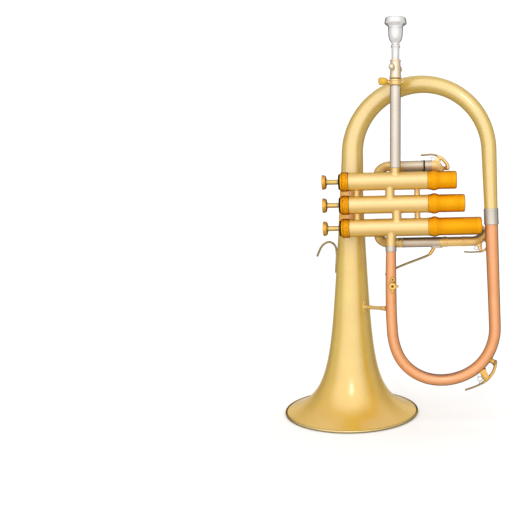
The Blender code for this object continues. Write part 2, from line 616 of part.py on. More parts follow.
# ---- small furniture --------------------------------------------------------
# brace from the bell to the front bow, waisted
bell_hold = 130.6
reach = Vector((LEFT_X, TUBE_Y, 0))
u = reach.normalized()
b0 = bell_r(bell_hold) + 0.9
b1 = reach.length - 6.5
L = b1 - b0
flange = 3.9
brace = turned([(0, 0), (flange, 0), (flange - 0.5, 1.0), (2.6, 2.2), (2.6, 4.2), (1.9, L * 0.45), (2.1, L * 0.7), (2.7, L - 2.4), (2.9, L), (0, L)], 10, "X")
place("bell_brace", brace, brass, at=(u.x * b0, u.y * b0, bell_hold - 0.8), rot=(0, -0.05, math.atan2(u.y, u.x)))

# post between the middle casing and the bell throat
place("valve_bell_brace", turned([(0, 0), (3.4, 0), (3.0, 1.2), (2.6, 4.5), (3.0, 8.0), (3.4, 9.2), (0, 9.2)], 10, "Y"), brass,
      at=(4.4, VALVE_O[1] + CASE_R + 0.35, 250.6))

# little-finger hook on the bell's upper side
pinky = curve_through([(-20.2, 0, 166.0), (-19.4, 0, 180.0), (-18.8, 0, 192.0), (-21.0, 0, 202.4), (-26.6, 0, 205.4), (-33.2, 0, 201.9), (-38.2, 0, 194.0), (-40.6, 0, 188.4)], 3)
place("pinky_hook", swept(pinky, [1.2] * len(pinky), None, 6, (0, 1, 0), (2.1, 1.0)), brass)

# lyre socket on the front bow's left leg: pad, boss and cross hole
LYRE = (LEFT_X + 2.0, TUBE_Y - 6.35, 159.2)
socket = place("lyre_socket", box(5.4, 1.6, 18.0, (-0.6, -0.9, 0)), brass, at=LYRE)
join(socket, place("lyre_boss", rod(4.1, -6.2, -0.6, 14, "Y"), None, at=LYRE, helper=True))
cut(socket, place("lyre_hole", rod(1.5, -9.0, -3.2, 10, "Y"), None, at=LYRE, helper=True))
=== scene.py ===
import math

import bmesh
import bpy
from mathutils import Matrix, Vector


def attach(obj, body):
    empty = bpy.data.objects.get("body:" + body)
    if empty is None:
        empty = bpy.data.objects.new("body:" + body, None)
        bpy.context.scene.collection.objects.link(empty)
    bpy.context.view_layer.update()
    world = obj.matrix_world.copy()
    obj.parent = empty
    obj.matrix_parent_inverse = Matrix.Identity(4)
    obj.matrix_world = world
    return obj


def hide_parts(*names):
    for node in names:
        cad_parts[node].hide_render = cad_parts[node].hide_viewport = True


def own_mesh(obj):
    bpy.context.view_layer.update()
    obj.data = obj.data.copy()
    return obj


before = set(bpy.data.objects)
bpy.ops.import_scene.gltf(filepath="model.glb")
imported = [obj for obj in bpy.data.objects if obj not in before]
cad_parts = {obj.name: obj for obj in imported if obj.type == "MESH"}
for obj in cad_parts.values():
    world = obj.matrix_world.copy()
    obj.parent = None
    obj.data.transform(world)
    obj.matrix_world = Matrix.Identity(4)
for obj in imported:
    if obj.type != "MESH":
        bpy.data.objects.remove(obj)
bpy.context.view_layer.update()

CENTRE_X = 46.74
TUBE_Y = -38.0
TILT = math.radians(1.35)
VALVE_O = Vector((45.0, -35.0, 251.5))
DV = Vector((math.cos(TILT), 0.0, math.sin(TILT)))     # along the valves
NV = Vector((-math.sin(TILT), 0.0, math.cos(TILT)))    # across the valve rows
YV = Vector((0.0, 1.0, 0.0))
PITCH = 26.3
CASE_R = 10.2
CASE_S = (-44.9, 44.6)
ROWS = (PITCH, 0.0, -PITCH)


def blk(s, y, n):
    """Point from valve block coordinates: along, behind, across."""
    return VALVE_O + DV * s + YV * y + NV * n


def mm(p):
    return Vector(((p[0] - CENTRE_X) * 0.001, p[1] * 0.001, p[2] * 0.001))


# =============================================================================
# materials
# =============================================================================
def new_material(name):
    m = bpy.data.materials.new(name)
    m.use_nodes = True
    nt = m.node_tree
    b = nt.nodes["Principled BSDF"]
    return m, nt, b


def link(nt, a, b):
    nt.links.new(a, b)


def noise(nt, coord, scale, detail=4.0, rough=0.55, stretch=None):
    n = nt.nodes.new("ShaderNodeTexNoise")
    n.inputs["Scale"].default_value = scale
    n.inputs["Detail"].default_value = detail
    n.inputs["Roughness"].default_value = rough
    if stretch is not None:
        mp = nt.nodes.new("ShaderNodeMapping")
        mp.inputs["Scale"].default_value = stretch
        link(nt, coord, mp.inputs["Vector"])
        coord = mp.outputs["Vector"]
    link(nt, coord, n.inputs["Vector"])
    return n.outputs["Fac"]


def ranged(nt, fac, lo, hi, out_lo, out_hi):
    r = nt.nodes.new("ShaderNodeMapRange")
    r.inputs["From Min"].default_value = lo
    r.inputs["From Max"].default_value = hi
    r.inputs["To Min"].default_value = out_lo
    r.inputs["To Max"].default_value = out_hi
    link(nt, fac, r.inputs["Value"])
    return r.outputs["Result"]


def blend_colour(nt, fac, a, b):
    r = nt.nodes.new("ShaderNodeValToRGB")
    r.color_ramp.elements[0].position = 0.34
    r.color_ramp.elements[0].color = (*a, 1.0)
    r.color_ramp.elements[1].position = 0.68
    r.color_ramp.elements[1].color = (*b, 1.0)
    link(nt, fac, r.inputs["Fac"])
    return r.outputs["Color"]


def mixed(nt, fac, a, b):
    m = nt.nodes.new("ShaderNodeMix")
    m.data_type = "RGBA"
    link(nt, fac, m.inputs["Factor"])
    link(nt, a, m.inputs["A"])
    link(nt, b, m.inputs["B"])
    return m.outputs["Result"]


def metal(name, light, shade, rough, spread, grain=(1.0, 1.0, 1.0), grain_scale=900.0, bump=0.02, coat=0.0, cloud=38.0, coat_rough=0.28, edge=None, coat_ior=2.2, metallic=1.0, graze=1.0, coat_edge=0.0, toe=None, painted_top_shade=None, painted_reflection=None):
    """Lacquered metal: slow colour drift, fine satin grain in roughness and bump."""
    m, nt, b = new_material(name)
    co = nt.nodes.new("ShaderNodeTexCoord").outputs["Object"]
    slow = noise(nt, co, cloud, 5.0, 0.6)
    base = blend_colour(nt, slow, shade, light)
    if toe:
        # a second colour pair takes over towards the foot: (height, height, light, shade)
        xyz = nt.nodes.new("ShaderNodeSeparateXYZ")
        link(nt, co, xyz.inputs["Vector"])
        base = mixed(nt, ranged(nt, xyz.outputs["Z"], toe[0], toe[1], 1.0, 0.0), base, blend_colour(nt, slow, toe[3], toe[2]))
    if painted_reflection:
        # painted reflection of the gold caps on the front of a tube between the casings: (low, low full, high full,
        # high, colour)
        at = nt.nodes.new("ShaderNodeSeparateXYZ")
        link(nt, co, at.inputs["Vector"])
        span = nt.nodes.new("ShaderNodeMath")
        span.operation = "MULTIPLY"
        link(nt, ranged(nt, at.outputs["Z"], painted_reflection[0], painted_reflection[1], 0.0, 1.0), span.inputs[0])
        link(nt, ranged(nt, at.outputs["Z"], painted_reflection[2], painted_reflection[3], 1.0, 0.0), span.inputs[1])
        near = nt.nodes.new("ShaderNodeMath")
        near.operation = "MULTIPLY"
        link(nt, span.outputs["Value"], near.inputs[0])
        link(nt, ranged(nt, at.outputs["Y"], -0.006, 0.002, 1.0, 0.0), near.inputs[1])
        left = nt.nodes.new("ShaderNodeMath")
        left.operation = "MULTIPLY"
        link(nt, near.outputs["Value"], left.inputs[0])
        link(nt, ranged(nt, at.outputs["X"], 0.03, 0.05, 1.0, 0.0), left.inputs[1])
        base = mixed(nt, left.outputs["Value"], base, blend_colour(nt, slow, painted_reflection[4], painted_reflection[4]))
    if painted_top_shade:
        # painted shade along the upward-facing front of a tube, standing in for dark reflections: (start, full, colour,
        # fading from x to x)
        up = nt.nodes.new("ShaderNodeSeparateXYZ")
        link(nt, nt.nodes.new("ShaderNodeNewGeometry").outputs["Normal"], up.inputs["Vector"])
        at = nt.nodes.new("ShaderNodeSeparateXYZ")
        link(nt, co, at.inputs["Vector"])
        both = nt.nodes.new("ShaderNodeMath")
        both.operation = "MULTIPLY"
        link(nt, ranged(nt, up.outputs["Z"], painted_top_shade[0], painted_top_shade[1], 0.0, 1.0), both.inputs[0])
        link(nt, ranged(nt, at.outputs["X"], painted_top_shade[3], painted_top_shade[4], 1.0, 0.0), both.inputs[1])
        front = nt.nodes.new("ShaderNodeMath")
        front.operation = "MULTIPLY"
        link(nt, both.outputs["Value"], front.inputs[0])
        link(nt, ranged(nt, at.outputs["Y"], -0.013, -0.006, 1.0, 0.0), front.inputs[1])
        base = mixed(nt, front.outputs["Value"], base, blend_colour(nt, slow, painted_top_shade[2], painted_top_shade[2]))
    link(nt, base, b.inputs["Base Color"])
    fine = noise(nt, co, grain_scale, 3.0, 0.6, grain)
    # a satin surface turns glossier at a shallow angle
    lw = nt.nodes.new("ShaderNodeLayerWeight")
    lw.inputs["Blend"].default_value = 0.5
    gloss = ranged(nt, lw.outputs["Facing"], 0.35, 0.70, 0.0, max(rough - 0.2, 0.0))
    sub = nt.nodes.new("ShaderNodeMath")
    sub.operation = "SUBTRACT"
    sub.use_clamp = True
    link(nt, ranged(nt, fine, 0.3, 0.7, rough - spread, rough + spread), sub.inputs[0])
    link(nt, gloss, sub.inputs[1])
    link(nt, sub.outputs["Value"], b.inputs["Roughness"])
    bp = nt.nodes.new("ShaderNodeBump")
    bp.inputs["Strength"].default_value = bump
    bp.inputs["Distance"].default_value = 0.0002
    link(nt, fine, bp.inputs["Height"])
    link(nt, bp.outputs["Normal"], b.inputs["Normal"])
    link(nt, ranged(nt, lw.outputs["Facing"], 0.36, 0.66, metallic, graze), b.inputs["Metallic"])
    if coat > 0.0:
        weight = ranged(nt, lw.outputs["Facing"], 0.40, 0.75, coat, coat_edge)
        if painted_reflection:
            # the coat is weakened under the painted cap reflection
            dull = nt.nodes.new("ShaderNodeMath")
            dull.operation = "MULTIPLY"
            link(nt, weight, dull.inputs[0])
            link(nt, ranged(nt, left.outputs["Value"], 0.0, 1.0, 1.0, 0.65), dull.inputs[1])
            weight = dull.outputs["Value"]
        link(nt, weight, b.inputs["Coat Weight"])
    b.inputs["Coat Roughness"].default_value = coat_rough
    b.inputs["Coat IOR"].default_value = coat_ior
    if edge:
        b.inputs["Specular Tint"].default_value = (*edge, 1.0)
    return m


# painted reflection of the gold caps on the bell and bow tubes between the casings
PAINTED_CAP_REFLECTION = (0.226, 0.232, 0.268, 0.275, (0.95, 0.50, 0.03))
BELL_BRASS = metal("bell_brass", (0.715, 0.485, 0.053), (0.675, 0.445, 0.042), 0.66, 0.03, (1, 1, 0.12), 1400.0, 0.03, 1.0, 38.0, 0.25, (0.7, 0.55, 0.28), 2.2, 0.45, 0.55, 0.4,
                   (0.012, 0.075, (0.79, 0.485, 0.036), (0.75, 0.445, 0.027)), None, PAINTED_CAP_REFLECTION)
# the rim bead's three tones are painted light: a lighter top as a painted highlight, a dark inside and a darker outer
# edge as painted shade
RIM_HIGHLIGHT_BRASS = metal("rim_highlight_brass", (0.78, 0.62, 0.30), (0.72, 0.56, 0.25), 0.30, 0.03, (1, 1, 1), 1400.0, 0.02, 0.3, 38.0, 0.2, (0.1, 0.08, 0.04), 1.8, 0.7)
RIM_SHADED_EDGE = metal("rim_shaded_edge", (0.55, 0.40, 0.14), (0.49, 0.35, 0.11), 0.30, 0.03, (1, 1, 1), 1400.0, 0.02, 0.2, 38.0, 0.2, (0.1, 0.08, 0.04), 1.8, 0.6)
RIM_SHADED_INSIDE = metal("rim_shaded_inside", (0.30, 0.205, 0.07), (0.26, 0.175, 0.055), 0.34, 0.03, (1, 1, 1), 1400.0, 0.02, 0.1, 38.0, 0.2, (0.1, 0.08, 0.04), 1.6, 0.6)
BRASS = metal("satin_brass", (0.71, 0.48, 0.06), (0.67, 0.445, 0.047), 0.66, 0.03, (1, 1, 0.12), 1400.0, 0.03, 1.0, 38.0, 0.25, (0.6, 0.45, 0.2), 2.5, 0.45, 0.6, 0.5, None, None, PAINTED_CAP_REFLECTION)
TUBE_BRASS = metal("valve_brass", (0.745, 0.45, 0.034), (0.705, 0.415, 0.026), 0.60, 0.03, (0.15, 1, 1), 1400.0, 0.02, 1.0, 38.0, 0.42, (0.4, 0.27, 0.07), 2.6, 0.42, 0.6, 0.2)
PALE = metal("polished_brass", (0.76, 0.49, 0.15), (0.71, 0.445, 0.115), 0.42, 0.03, (1, 1, 1), 1100.0, 0.012, 0.8, 38.0, 0.16, (0.3, 0.2, 0.06), 2.0, 0.55, 0.6, 0.3)
SLIDE_BRASS = metal("slide_brass", (0.76, 0.52, 0.18), (0.70, 0.46, 0.14), 0.42, 0.03, (1, 1, 1), 1100.0, 0.012, 0.5, 38.0, 0.16, (0.1, 0.06, 0.015), 1.9, 0.42, 0.85)
CREAM = metal("receiver_brass", (0.77, 0.635, 0.46), (0.73, 0.59, 0.41), 0.38, 0.03, (1, 1, 1), 1100.0, 0.012, 0.55, 38.0, 0.16, (0.2, 0.13, 0.06), 1.9, 0.55)
YGOLD = metal("fitting_brass", (0.75, 0.44, 0.085), (0.69, 0.39, 0.065), 0.48, 0.03, (1, 1, 1), 1200.0, 0.015, 0.45, 50.0, 0.2, (0.08, 0.04, 0.005), 1.9, 0.65)
KEY_BRASS = metal("key_brass", (0.80, 0.53, 0.20), (0.74, 0.47, 0.15), 0.40, 0.03, (1, 1, 1), 1200.0, 0.015, 0.4, 50.0, 0.2, (0.05, 0.03, 0.005), 1.9, 0.7)
BUTTON = metal("button_gold", (0.73, 0.375, 0.042), (0.68, 0.335, 0.033), 0.44, 0.03, (1, 1, 1), 1200.0, 0.015, 0.3, 50.0, 0.2, (0.08, 0.04, 0.004), 1.8, 0.7)
STEM_BRASS = metal("stem_brass", (0.63, 0.43, 0.12), (0.58, 0.385, 0.095), 0.42, 0.03, (1, 1, 1), 1200.0, 0.015, 0.3, 50.0, 0.2, (0.08, 0.05, 0.01), 1.8, 0.7)
KEY_GOLD = metal("key_gold", (0.54, 0.29, 0.03), (0.46, 0.23, 0.02), 0.42, 0.03, (1, 1, 1), 1200.0, 0.015, 0.45, 50.0, 0.2, (0.06, 0.03, 0.004), 1.9, 0.75)
OLIVE = metal("strip_brass", (0.36, 0.27, 0.10), (0.31, 0.225, 0.075), 0.42, 0.03, (1, 1, 1), 1200.0, 0.015, 0.2, 50.0, 0.2, (0.08, 0.06, 0.03), 1.7, 0.75)
THUMB_GOLD = metal("thumb_gold", (0.70, 0.42, 0.04), (0.60, 0.35, 0.03), 0.50, 0.03, (1, 1, 1), 1200.0, 0.015, 0.25, 50.0, 0.24, (0.06, 0.03, 0.004), 1.7, 0.55)
GOLD = metal("gold_lacquer", (0.86, 0.385, 0.0008), (0.82, 0.345, 0.0006), 0.60, 0.03, (1, 1, 1), 1200.0, 0.02, 0.1, 60.0, 0.26, (0.12, 0.04, 0.001), 1.6, 0.5)
# painted shade: strong fine mottling stands in for the shade in the knurl's cuts
KNURL_GOLD = metal("knurled_gold", (0.90, 0.42, 0.003), (0.58, 0.205, 0.0006), 0.56, 0.03, (1, 1, 1), 1200.0, 0.02, 0.12, 620.0, 0.26, (0.12, 0.04, 0.001), 1.6, 0.5)
# the copper bow carries painted shade along its upward-facing front surfaces, standing in for dark reflections
COPPER = metal("rose_brass", (0.79, 0.335, 0.110), (0.74, 0.295, 0.080), 0.60, 0.03, (1, 1, 0.15), 1300.0, 0.025, 1.0, 38.0, 0.24, (0.06, 0.02, 0.006), 1.8, 0.5, 1.0, 0.0, None,
               (0.62, 0.95, (0.30, 0.105, 0.03), 0.170, 0.180))
NICKEL = metal("nickel_silver", (0.655, 0.59, 0.505), (0.605, 0.54, 0.46), 0.44, 0.035, (1, 1, 0.2), 1300.0, 0.015, 0.3, 38.0, 0.22, (0.07, 0.063, 0.052), 1.7, 0.6)
FERRULE = metal("ferrule_nickel", (0.55, 0.50, 0.43), (0.50, 0.455, 0.39), 0.36, 0.03, (1, 1, 0.2), 1300.0, 0.015, 0.15, 38.0, 0.22, (0.07, 0.063, 0.052), 1.7, 0.7)
SLIDE_NICKEL = metal("slide_nickel", (0.61, 0.515, 0.40), (0.56, 0.465, 0.355), 0.42, 0.03, (1, 1, 0.2), 1300.0, 0.012, 0.0, 38.0, 0.22, (0.06, 0.055, 0.045), 1.7, 0.4)
# nickel and brass of the third slide's near leg, with painted shade along the upper side standing in for dark
# reflections of the casing above
TOP_SHADED_NICKEL = metal("top_shaded_nickel", (0.60, 0.505, 0.395), (0.55, 0.455, 0.35), 0.42, 0.03, (1, 1, 0.2), 1300.0, 0.012, 0.0, 38.0, 0.22, (0.06, 0.055, 0.045), 1.7, 0.4, 1.0, 0.0, None,
                    (0.46, 0.74, (0.095, 0.066, 0.028), 0.130, 0.141))
TOP_SHADED_BRASS = metal("top_shaded_brass", (0.80, 0.54, 0.19), (0.74, 0.48, 0.15), 0.42, 0.03, (1, 1, 1), 1100.0, 0.012, 0.3, 38.0, 0.16, (0.3, 0.2, 0.07), 1.9, 0.25, 0.3, 0.2, None,
                   (0.45, 0.75, (0.13, 0.08, 0.025), 0.130, 0.141))
# painted light: a lighter copy of the slide brass for the first slide's crook, which sits in shade
LIGHTENED_CROOK_BRASS = metal("lightened_crook_brass", (0.90, 0.65, 0.29), (0.84, 0.59, 0.24), 0.45, 0.03, (1, 1, 1), 1100.0, 0.012, 0.3, 38.0, 0.16, (0.5, 0.35, 0.15), 1.9, 0.15, 0.2, 0.3)
# painted light: a lighter, less metallic brass for the band in the casings' shade
LIGHTENED_BAND_BRASS = metal("lightened_band_brass", (0.84, 0.545, 0.15), (0.79, 0.495, 0.12), 0.6, 0.03, (1, 1, 1), 1100.0, 0.012, 0.0, 38.0, 0.16, (0.1, 0.06, 0.015), 1.9, 0.2)
SILVER = metal("silver_plate", (0.75, 0.745, 0.735), (0.70, 0.695, 0.68), 0.13, 0.02, (1, 1, 1), 900.0, 0.004, 0.0, 38.0, 0.1, (0.2, 0.2, 0.2), 1.7, 0.3, 1.0)
STEEL = metal("spring_wire", (0.52, 0.53, 0.56), (0.43, 0.44, 0.47), 0.26, 0.04, (1, 1, 1), 1500.0, 0.01, 0.0)


def soft(name, a, b_col, rough, scale, bump):
    m, nt, b = new_material(name)
    co = nt.nodes.new("ShaderNodeTexCoord").outputs["Object"]
    f = noise(nt, co, scale, 6.0, 0.7)
    link(nt, blend_colour(nt, f, a, b_col), b.inputs["Base Color"])
    link(nt, ranged(nt, f, 0.3, 0.7, rough - 0.05, min(1.0, rough + 0.05)), b.inputs["Roughness"])
    bp = nt.nodes.new("ShaderNodeBump")
    bp.inputs["Strength"].default_value = bump
    bp.inputs["Distance"].default_value = 0.0004
    link(nt, f, bp.inputs["Height"])
    link(nt, bp.outputs["Normal"], b.inputs["Normal"])
    b.inputs["Specular IOR Level"].default_value = 0.1
    return m


FELT = soft("black_felt", (0.003, 0.0025, 0.003), (0.012, 0.011, 0.011), 0.95, 2600.0, 0.8)
BUMPER = soft("slide_bumper", (0.035, 0.018, 0.008), (0.06, 0.033, 0.015), 0.7, 1400.0, 0.3)
CORK = soft("cork", (0.20, 0.105, 0.05), (0.42, 0.27, 0.15), 0.85, 1500.0, 0.7)


# =============================================================================
# mesh building
# =============================================================================
class Shape:
    """Collects closed shells in millimetres."""

    def __init__(self):
        self.v, self.f = [], []

    def ring(self, pts):
        i = len(self.v)
        self.v += [Vector(p) for p in pts]
        return list(range(i, i + len(pts)))

    def skin(self, rings, closed=False):
        pairs = list(zip(rings, rings[1:]))
        if closed:
            pairs.append((rings[-1], rings[0]))
        for a, b in pairs:
            n = max(len(a), len(b))
            for k in range(n):
                j = (k + 1) % n
                if len(a) == 1:
                    self.f.append((a[0], b[j], b[k]))
                elif len(b) == 1:
                    self.f.append((a[k], a[j], b[0]))
                else:
                    self.f.append((a[k], a[j], b[j], b[k]))

    def cap(self, ring):
        if len(ring) > 2:
            self.f.append(tuple(ring))

    def turned(self, profile, origin, axis, segs=64, loop=False, knurl=None):
        """Revolve (radius, height) points. knurl = (h0, h1, count, depth, pitch) cuts crossed lines."""
        o, a = Vector(origin), Vector(axis).normalized()
        ref = Vector((0, 1, 0)) if abs(a.y) < 0.9 else Vector((1, 0, 0))
        u = (ref - a * ref.dot(a)).normalized()
        w = a.cross(u)
        rings = []
        for r, h in profile:
            if r < 1e-6:
                rings.append(self.ring([o + a * h]))
                continue
            pts = []
            for k in range(segs):
                t = 2 * math.pi * k / segs
                rr = r
                if knurl and knurl[0] <= h <= knurl[1]:
                    q = 2 * math.pi * h / knurl[4]
                    rr = r - knurl[3] * (0.5 - 0.5 * math.cos(t * knurl[2] + q) * math.cos(t * knurl[2] - q))
                pts.append(o + a * h + (u * math.cos(t) + w * math.sin(t)) * rr)
            rings.append(self.ring(pts))
        self.skin(rings, loop)
        return self

    def swept(self, path, radii, sides=32, bore=None, normal=(0, 1, 0), section=(1.0, 1.0), power=2.0, dome=False):
        """Sweep a (super)elliptic section along a path; with a bore the ends are open rings."""
        pts = [Vector(p) for p in path]
        n = len(pts)
        if not hasattr(radii, "__len__"):
            radii = [radii] * n
        nrm = Vector(normal)
        outer, inner = [], []
        for i in range(n):
            t = (pts[min(i + 1, n - 1)] - pts[max(i - 1, 0)]).normalized()
            nrm = (nrm - t * nrm.dot(t)).normalized()
            side = t.cross(nrm)

            def loop_at(c, r):
                out = []
                for k in range(sides):
                    a = 2 * math.pi * (k + 0.5) / sides
                    ca, sa = math.cos(a), math.sin(a)
                    q = (abs(ca) ** power + abs(sa) ** power) ** (-1.0 / power)
                    out.append(c + (nrm * (ca * q * section[0]) + side * (sa * q * section[1])) * r)
                return out

            if bore is None and dome and i == 0:
                for d, g in ((1.0, 0.25), (0.8, 0.65), (0.42, 0.92)):
                    outer.append(self.ring(loop_at(pts[0] - t * radii[0] * d * 0.8 * min(section), radii[0] * g)))
            outer.append(self.ring(loop_at(pts[i], radii[i])))
            if bore is None and dome and i == n - 1:
                for d, g in ((0.42, 0.92), (0.8, 0.65), (1.0, 0.25)):
                    outer.append(self.ring(loop_at(pts[-1] + t * radii[-1] * d * 0.8 * min(section), radii[-1] * g)))
            if bore is not None:
                inner.append(self.ring(loop_at(pts[i], bore[i] if hasattr(bore, "__len__") else bore)))
        self.skin(outer)
        if bore is None:
            self.cap(outer[0])
            self.cap(outer[-1])
        else:
            self.skin(inner)
            self.skin([outer[0], inner[0]])
            self.skin([outer[-1], inner[-1]])
        return self

    def ball(self, centre, r, segs=28, stretch=None, axis=(0, 0, 1)):
        prof = []
        for i in range(segs // 2 + 1):
            a = math.pi * i / (segs // 2)
            prof.append((max(r * math.sin(a), 0.0) if 0 < i < segs // 2 else 0.0, -r * math.cos(a) * (stretch or 1.0)))
        return self.turned(prof, centre, axis, segs)

    def slab(self, outline, thick, origin, u, v, bevel=0.3):
        """Plate from a closed outline of (a, b) points in the plane (u, v), bevelled, thickness along u x v."""
        o, u, v = Vector(origin), Vector(u).normalized(), Vector(v).normalized()
        w = u.cross(v).normalized()
        c = Vector((sum(p[0] for p in outline) / len(outline), sum(p[1] for p in outline) / len(outline)))
        rings = []
        for h, shrink in ((-thick / 2, bevel), (-thick / 2 + bevel, 0.0), (thick / 2 - bevel, 0.0), (thick / 2, bevel)):
            ring = []
            for a, b in outline:
                d = Vector((a, b)) - c
                q = c + d * max(0.05, (d.length - shrink) / max(d.length, 1e-6))
                ring.append(o + u * q.x + v * q.y + w * h)
            rings.append(self.ring(ring))
        self.skin(rings)
        self.cap(rings[0])
        self.cap(rings[-1])
        return self

    def build(self, name, mat, body, nodes=(), slot=None, sharp=42.0):
        me = bpy.data.meshes.new(name)
        me.from_pydata([mm(p) for p in self.v], [], self.f)
        bm = bmesh.new()
        bm.from_mesh(me)
        bmesh.ops.remove_doubles(bm, verts=bm.verts, dist=1e-7)
        bmesh.ops.dissolve_degenerate(bm, dist=1e-7, edges=bm.edges)
        bmesh.ops.recalc_face_normals(bm, faces=bm.faces)
        bm.to_mesh(me)
        bm.free()
        me.shade_smooth()
        me.set_sharp_from_angle(angle=math.radians(sharp))
        me.materials.append(mat)
        ob = bpy.data.objects.new(name, me)
        bpy.context.scene.collection.objects.link(ob)
        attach(ob, body)
        if nodes:
            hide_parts(*nodes)
        return ob


def fillet(points, radius, steps=4, closed=False):
    """Round the corners of a polyline of 2-D points."""
    out = []
    n = len(points)
    for i in range(n):
        p = Vector(points[i])
        if not closed and (i == 0 or i == n - 1):
            out.append(tuple(p))
            continue
        a, b = Vector(points[(i - 1) % n]), Vector(points[(i + 1) % n])
        r = radius[i] if hasattr(radius, "__len__") else radius
        da, db = a - p, b - p
        k = min(r, da.length * 0.48, db.length * 0.48)
        if k < 1e-4:
            out.append(tuple(p))
            continue
        s, e = p + da.normalized() * k, p + db.normalized() * k
        for j in range(steps + 1):
            t = j / steps
            out.append(tuple(s * (1 - t) ** 2 + p * (2 * t * (1 - t)) + e * t * t))
    return out


def curve(points, per=10):
    p = [Vector(q) for q in points]
    p = [p[0] * 2 - p[1]] + p + [p[-1] * 2 - p[-2]]
    out = []
    for i in range(1, len(p) - 2):
        a, b, c, d = p[i - 1], p[i], p[i + 1], p[i + 2]
        for k in range(per):
            t = k / per
            out.append(0.5 * ((2 * b) + (c - a) * t + (2 * a - 5 * b + 4 * c - d) * t * t + (3 * b - a - 3 * c + d) * t ** 3))
    out.append(p[-2])
    return out


def stations(table, x):
    if x <= table[0][0]:
        return table[0][1]
    for (k0, v0), (k1, v1) in zip(table, table[1:]):
        if x <= k1:
            return v0 + (v1 - v0) * (x - k0) / (k1 - k0)
    return table[-1][1]


def lengths(path):
    t = [0.0]
    for a, b in zip(path, path[1:]):
        t.append(t[-1] + (Vector(b) - Vector(a)).length)
    return [x / t[-1] for x in t]


def eased(values, passes=14):
    v = list(values)
    for _ in range(passes):
        v = [v[0]] + [(v[i - 1] + 2 * v[i] + v[i + 1]) / 4 for i in range(1, len(v) - 1)] + [v[-1]]
    return v


def smoothstep(t):
    t = min(max(t, 0.0), 1.0)
    return t * t * (3 - 2 * t)


HORN = "horn_body"


# =============================================================================
# bell
# =============================================================================
def bell_r(z):
    return 14.0 - 0.0185 * z + 66.0 * 20.0 / (z + 20.0) + 0.8 * math.exp(-((z - 140.0) / 70.0) ** 2)


def bell_surface(z):
    """Outer radius at a height above the floor."""
    return bell_r(max(z - 1.6, 1.0))


flare = []
for i in range(73):
    h = 1.9 * (248.3 / 1.9) ** (i / 72)
    flare.append((bell_r(h), h + 1.6))
inside = []
for i, (r, z) in enumerate(flare):
    a, b = flare[max(i - 1, 0)], flare[min(i + 1, 72)]
    t = Vector((b[0] - a[0], b[1] - a[1])).normalized()
    inside.append((r - t.y * 0.9, z + t.x * 0.9))
inside[-1] = (flare[-1][0] - 0.9, flare[-1][1])
edge_top = [(78.3, 1.75), (77.4, 2.25), (76.6, 2.65), (75.6, 3.05)]
edge_low = [(75.2, 1.9), (76.3, 1.5), (77.4, 1.1), (78.3, 0.85)]
bell = Shape().turned(inside[::-1] + edge_low + edge_top + flare, (0, 0, 0), (0, 0, 1), 144, loop=True)
bell.build("bell_body", BELL_BRASS, HORN, ("bell",), "yellow_brass", 30)
# rolled bead round the rim, split into a top with a painted highlight and an inside and outer edge with painted shade
def bead(a0, a1):
    arc = [(78.75 + 1.25 * math.cos(math.radians(a)), 1.25 + 1.25 * math.sin(math.radians(a))) for a in range(a0, a1 + 1, 10)]
    return arc + [(78.75, 1.25)]


Shape().turned(bead(20, 80), (0, 0, 0), (0, 0, 1), 192, loop=True).build("bell_bead_top", RIM_HIGHLIGHT_BRASS, HORN, (), "yellow_brass")
Shape().turned(bead(80, 260), (0, 0, 0), (0, 0, 1), 192, loop=True).build("bell_bead_inner", RIM_SHADED_INSIDE, HORN, (), "yellow_brass")
Shape().turned(bead(-100, 20), (0, 0, 0), (0, 0, 1), 192, loop=True).build("bell_bead_outer", RIM_SHADED_EDGE, HORN, (), "yellow_brass")

# soldered band where the bell meets the upper bow, behind the valves; it is lightened as painted light in the casings'
# shade
band = fillet([(14.2, 242.5), (14.95, 242.5), (15.1, 244.2), (14.85, 245.2), (14.8, 255.0), (15.0, 256.0), (14.85, 257.6), (13.9, 257.6)], 0.25, 3)
Shape().turned(band, (0, 0, 0), (0, 0, 1), 96, loop=True).build("bell_band", LIGHTENED_BAND_BRASS, HORN, (), "yellow_brass")

# =============================================================================
# upper bow, ferrule, front bow
# =============================================================================
ARCH_C, ARCH_R = (79.3, 309.6), 78.2
BOW_C, BOW_R = (107.4, 108.2), 59.7
LEAN = math.atan(0.0476)
LEFT_X = BOW_C[0] - BOW_R
FERRULE_Z = (229.2, 247.4)
JOINT_Z = sum(FERRULE_Z) / 2
FRONT_FERRULE_Z = (198.1, 204.5)
FRONT_JOINT_Z = sum(FRONT_FERRULE_Z) / 2


def leg_x(z):
    tx, tz = ARCH_C[0] + ARCH_R * math.cos(LEAN), ARCH_C[1] + ARCH_R * math.sin(LEAN)
    return tx + math.tan(LEAN) * (tz - z)


def arch_depth(x):
    return TUBE_Y * smoothstep((x - 1.0) / (leg_x(313.0) - 1.0))


path = [(1.1 * smoothstep((z - 255.0) / 54.6), 0.0, z) for z in [250.15 + (309.6 - 250.15) * i / 24 for i in range(24)]]
for i in range(121):
    a = math.pi + (LEAN - math.pi) * i / 120
    x, z = ARCH_C[0] + ARCH_R * math.cos(a), ARCH_C[1] + ARCH_R * math.sin(a)
    path.append((x, arch_depth(x), z))
for i in range(1, 25):
    z = ARCH_C[1] + ARCH_R * math.sin(LEAN)
    z += (JOINT_Z + 0.2 - z) * i / 24
    path.append((leg_x(z), TUBE_Y, z))
ARCH_R_AT = [(0.0, 14.25), (0.14, 12.75), (0.20, 12.3), (0.33, 11.3), (0.50, 9.75), (0.66, 9.1), (0.80, 8.55), (0.90, 8.0), (1.0, 7.4)]
rad = eased([stations(ARCH_R_AT, t) for t in lengths(path)], 60)
Shape().swept(path, rad, 56, [r - 0.8 for r in rad]).build("upper_bow", BRASS, HORN, ("bell_bow",), "yellow_brass", 30)

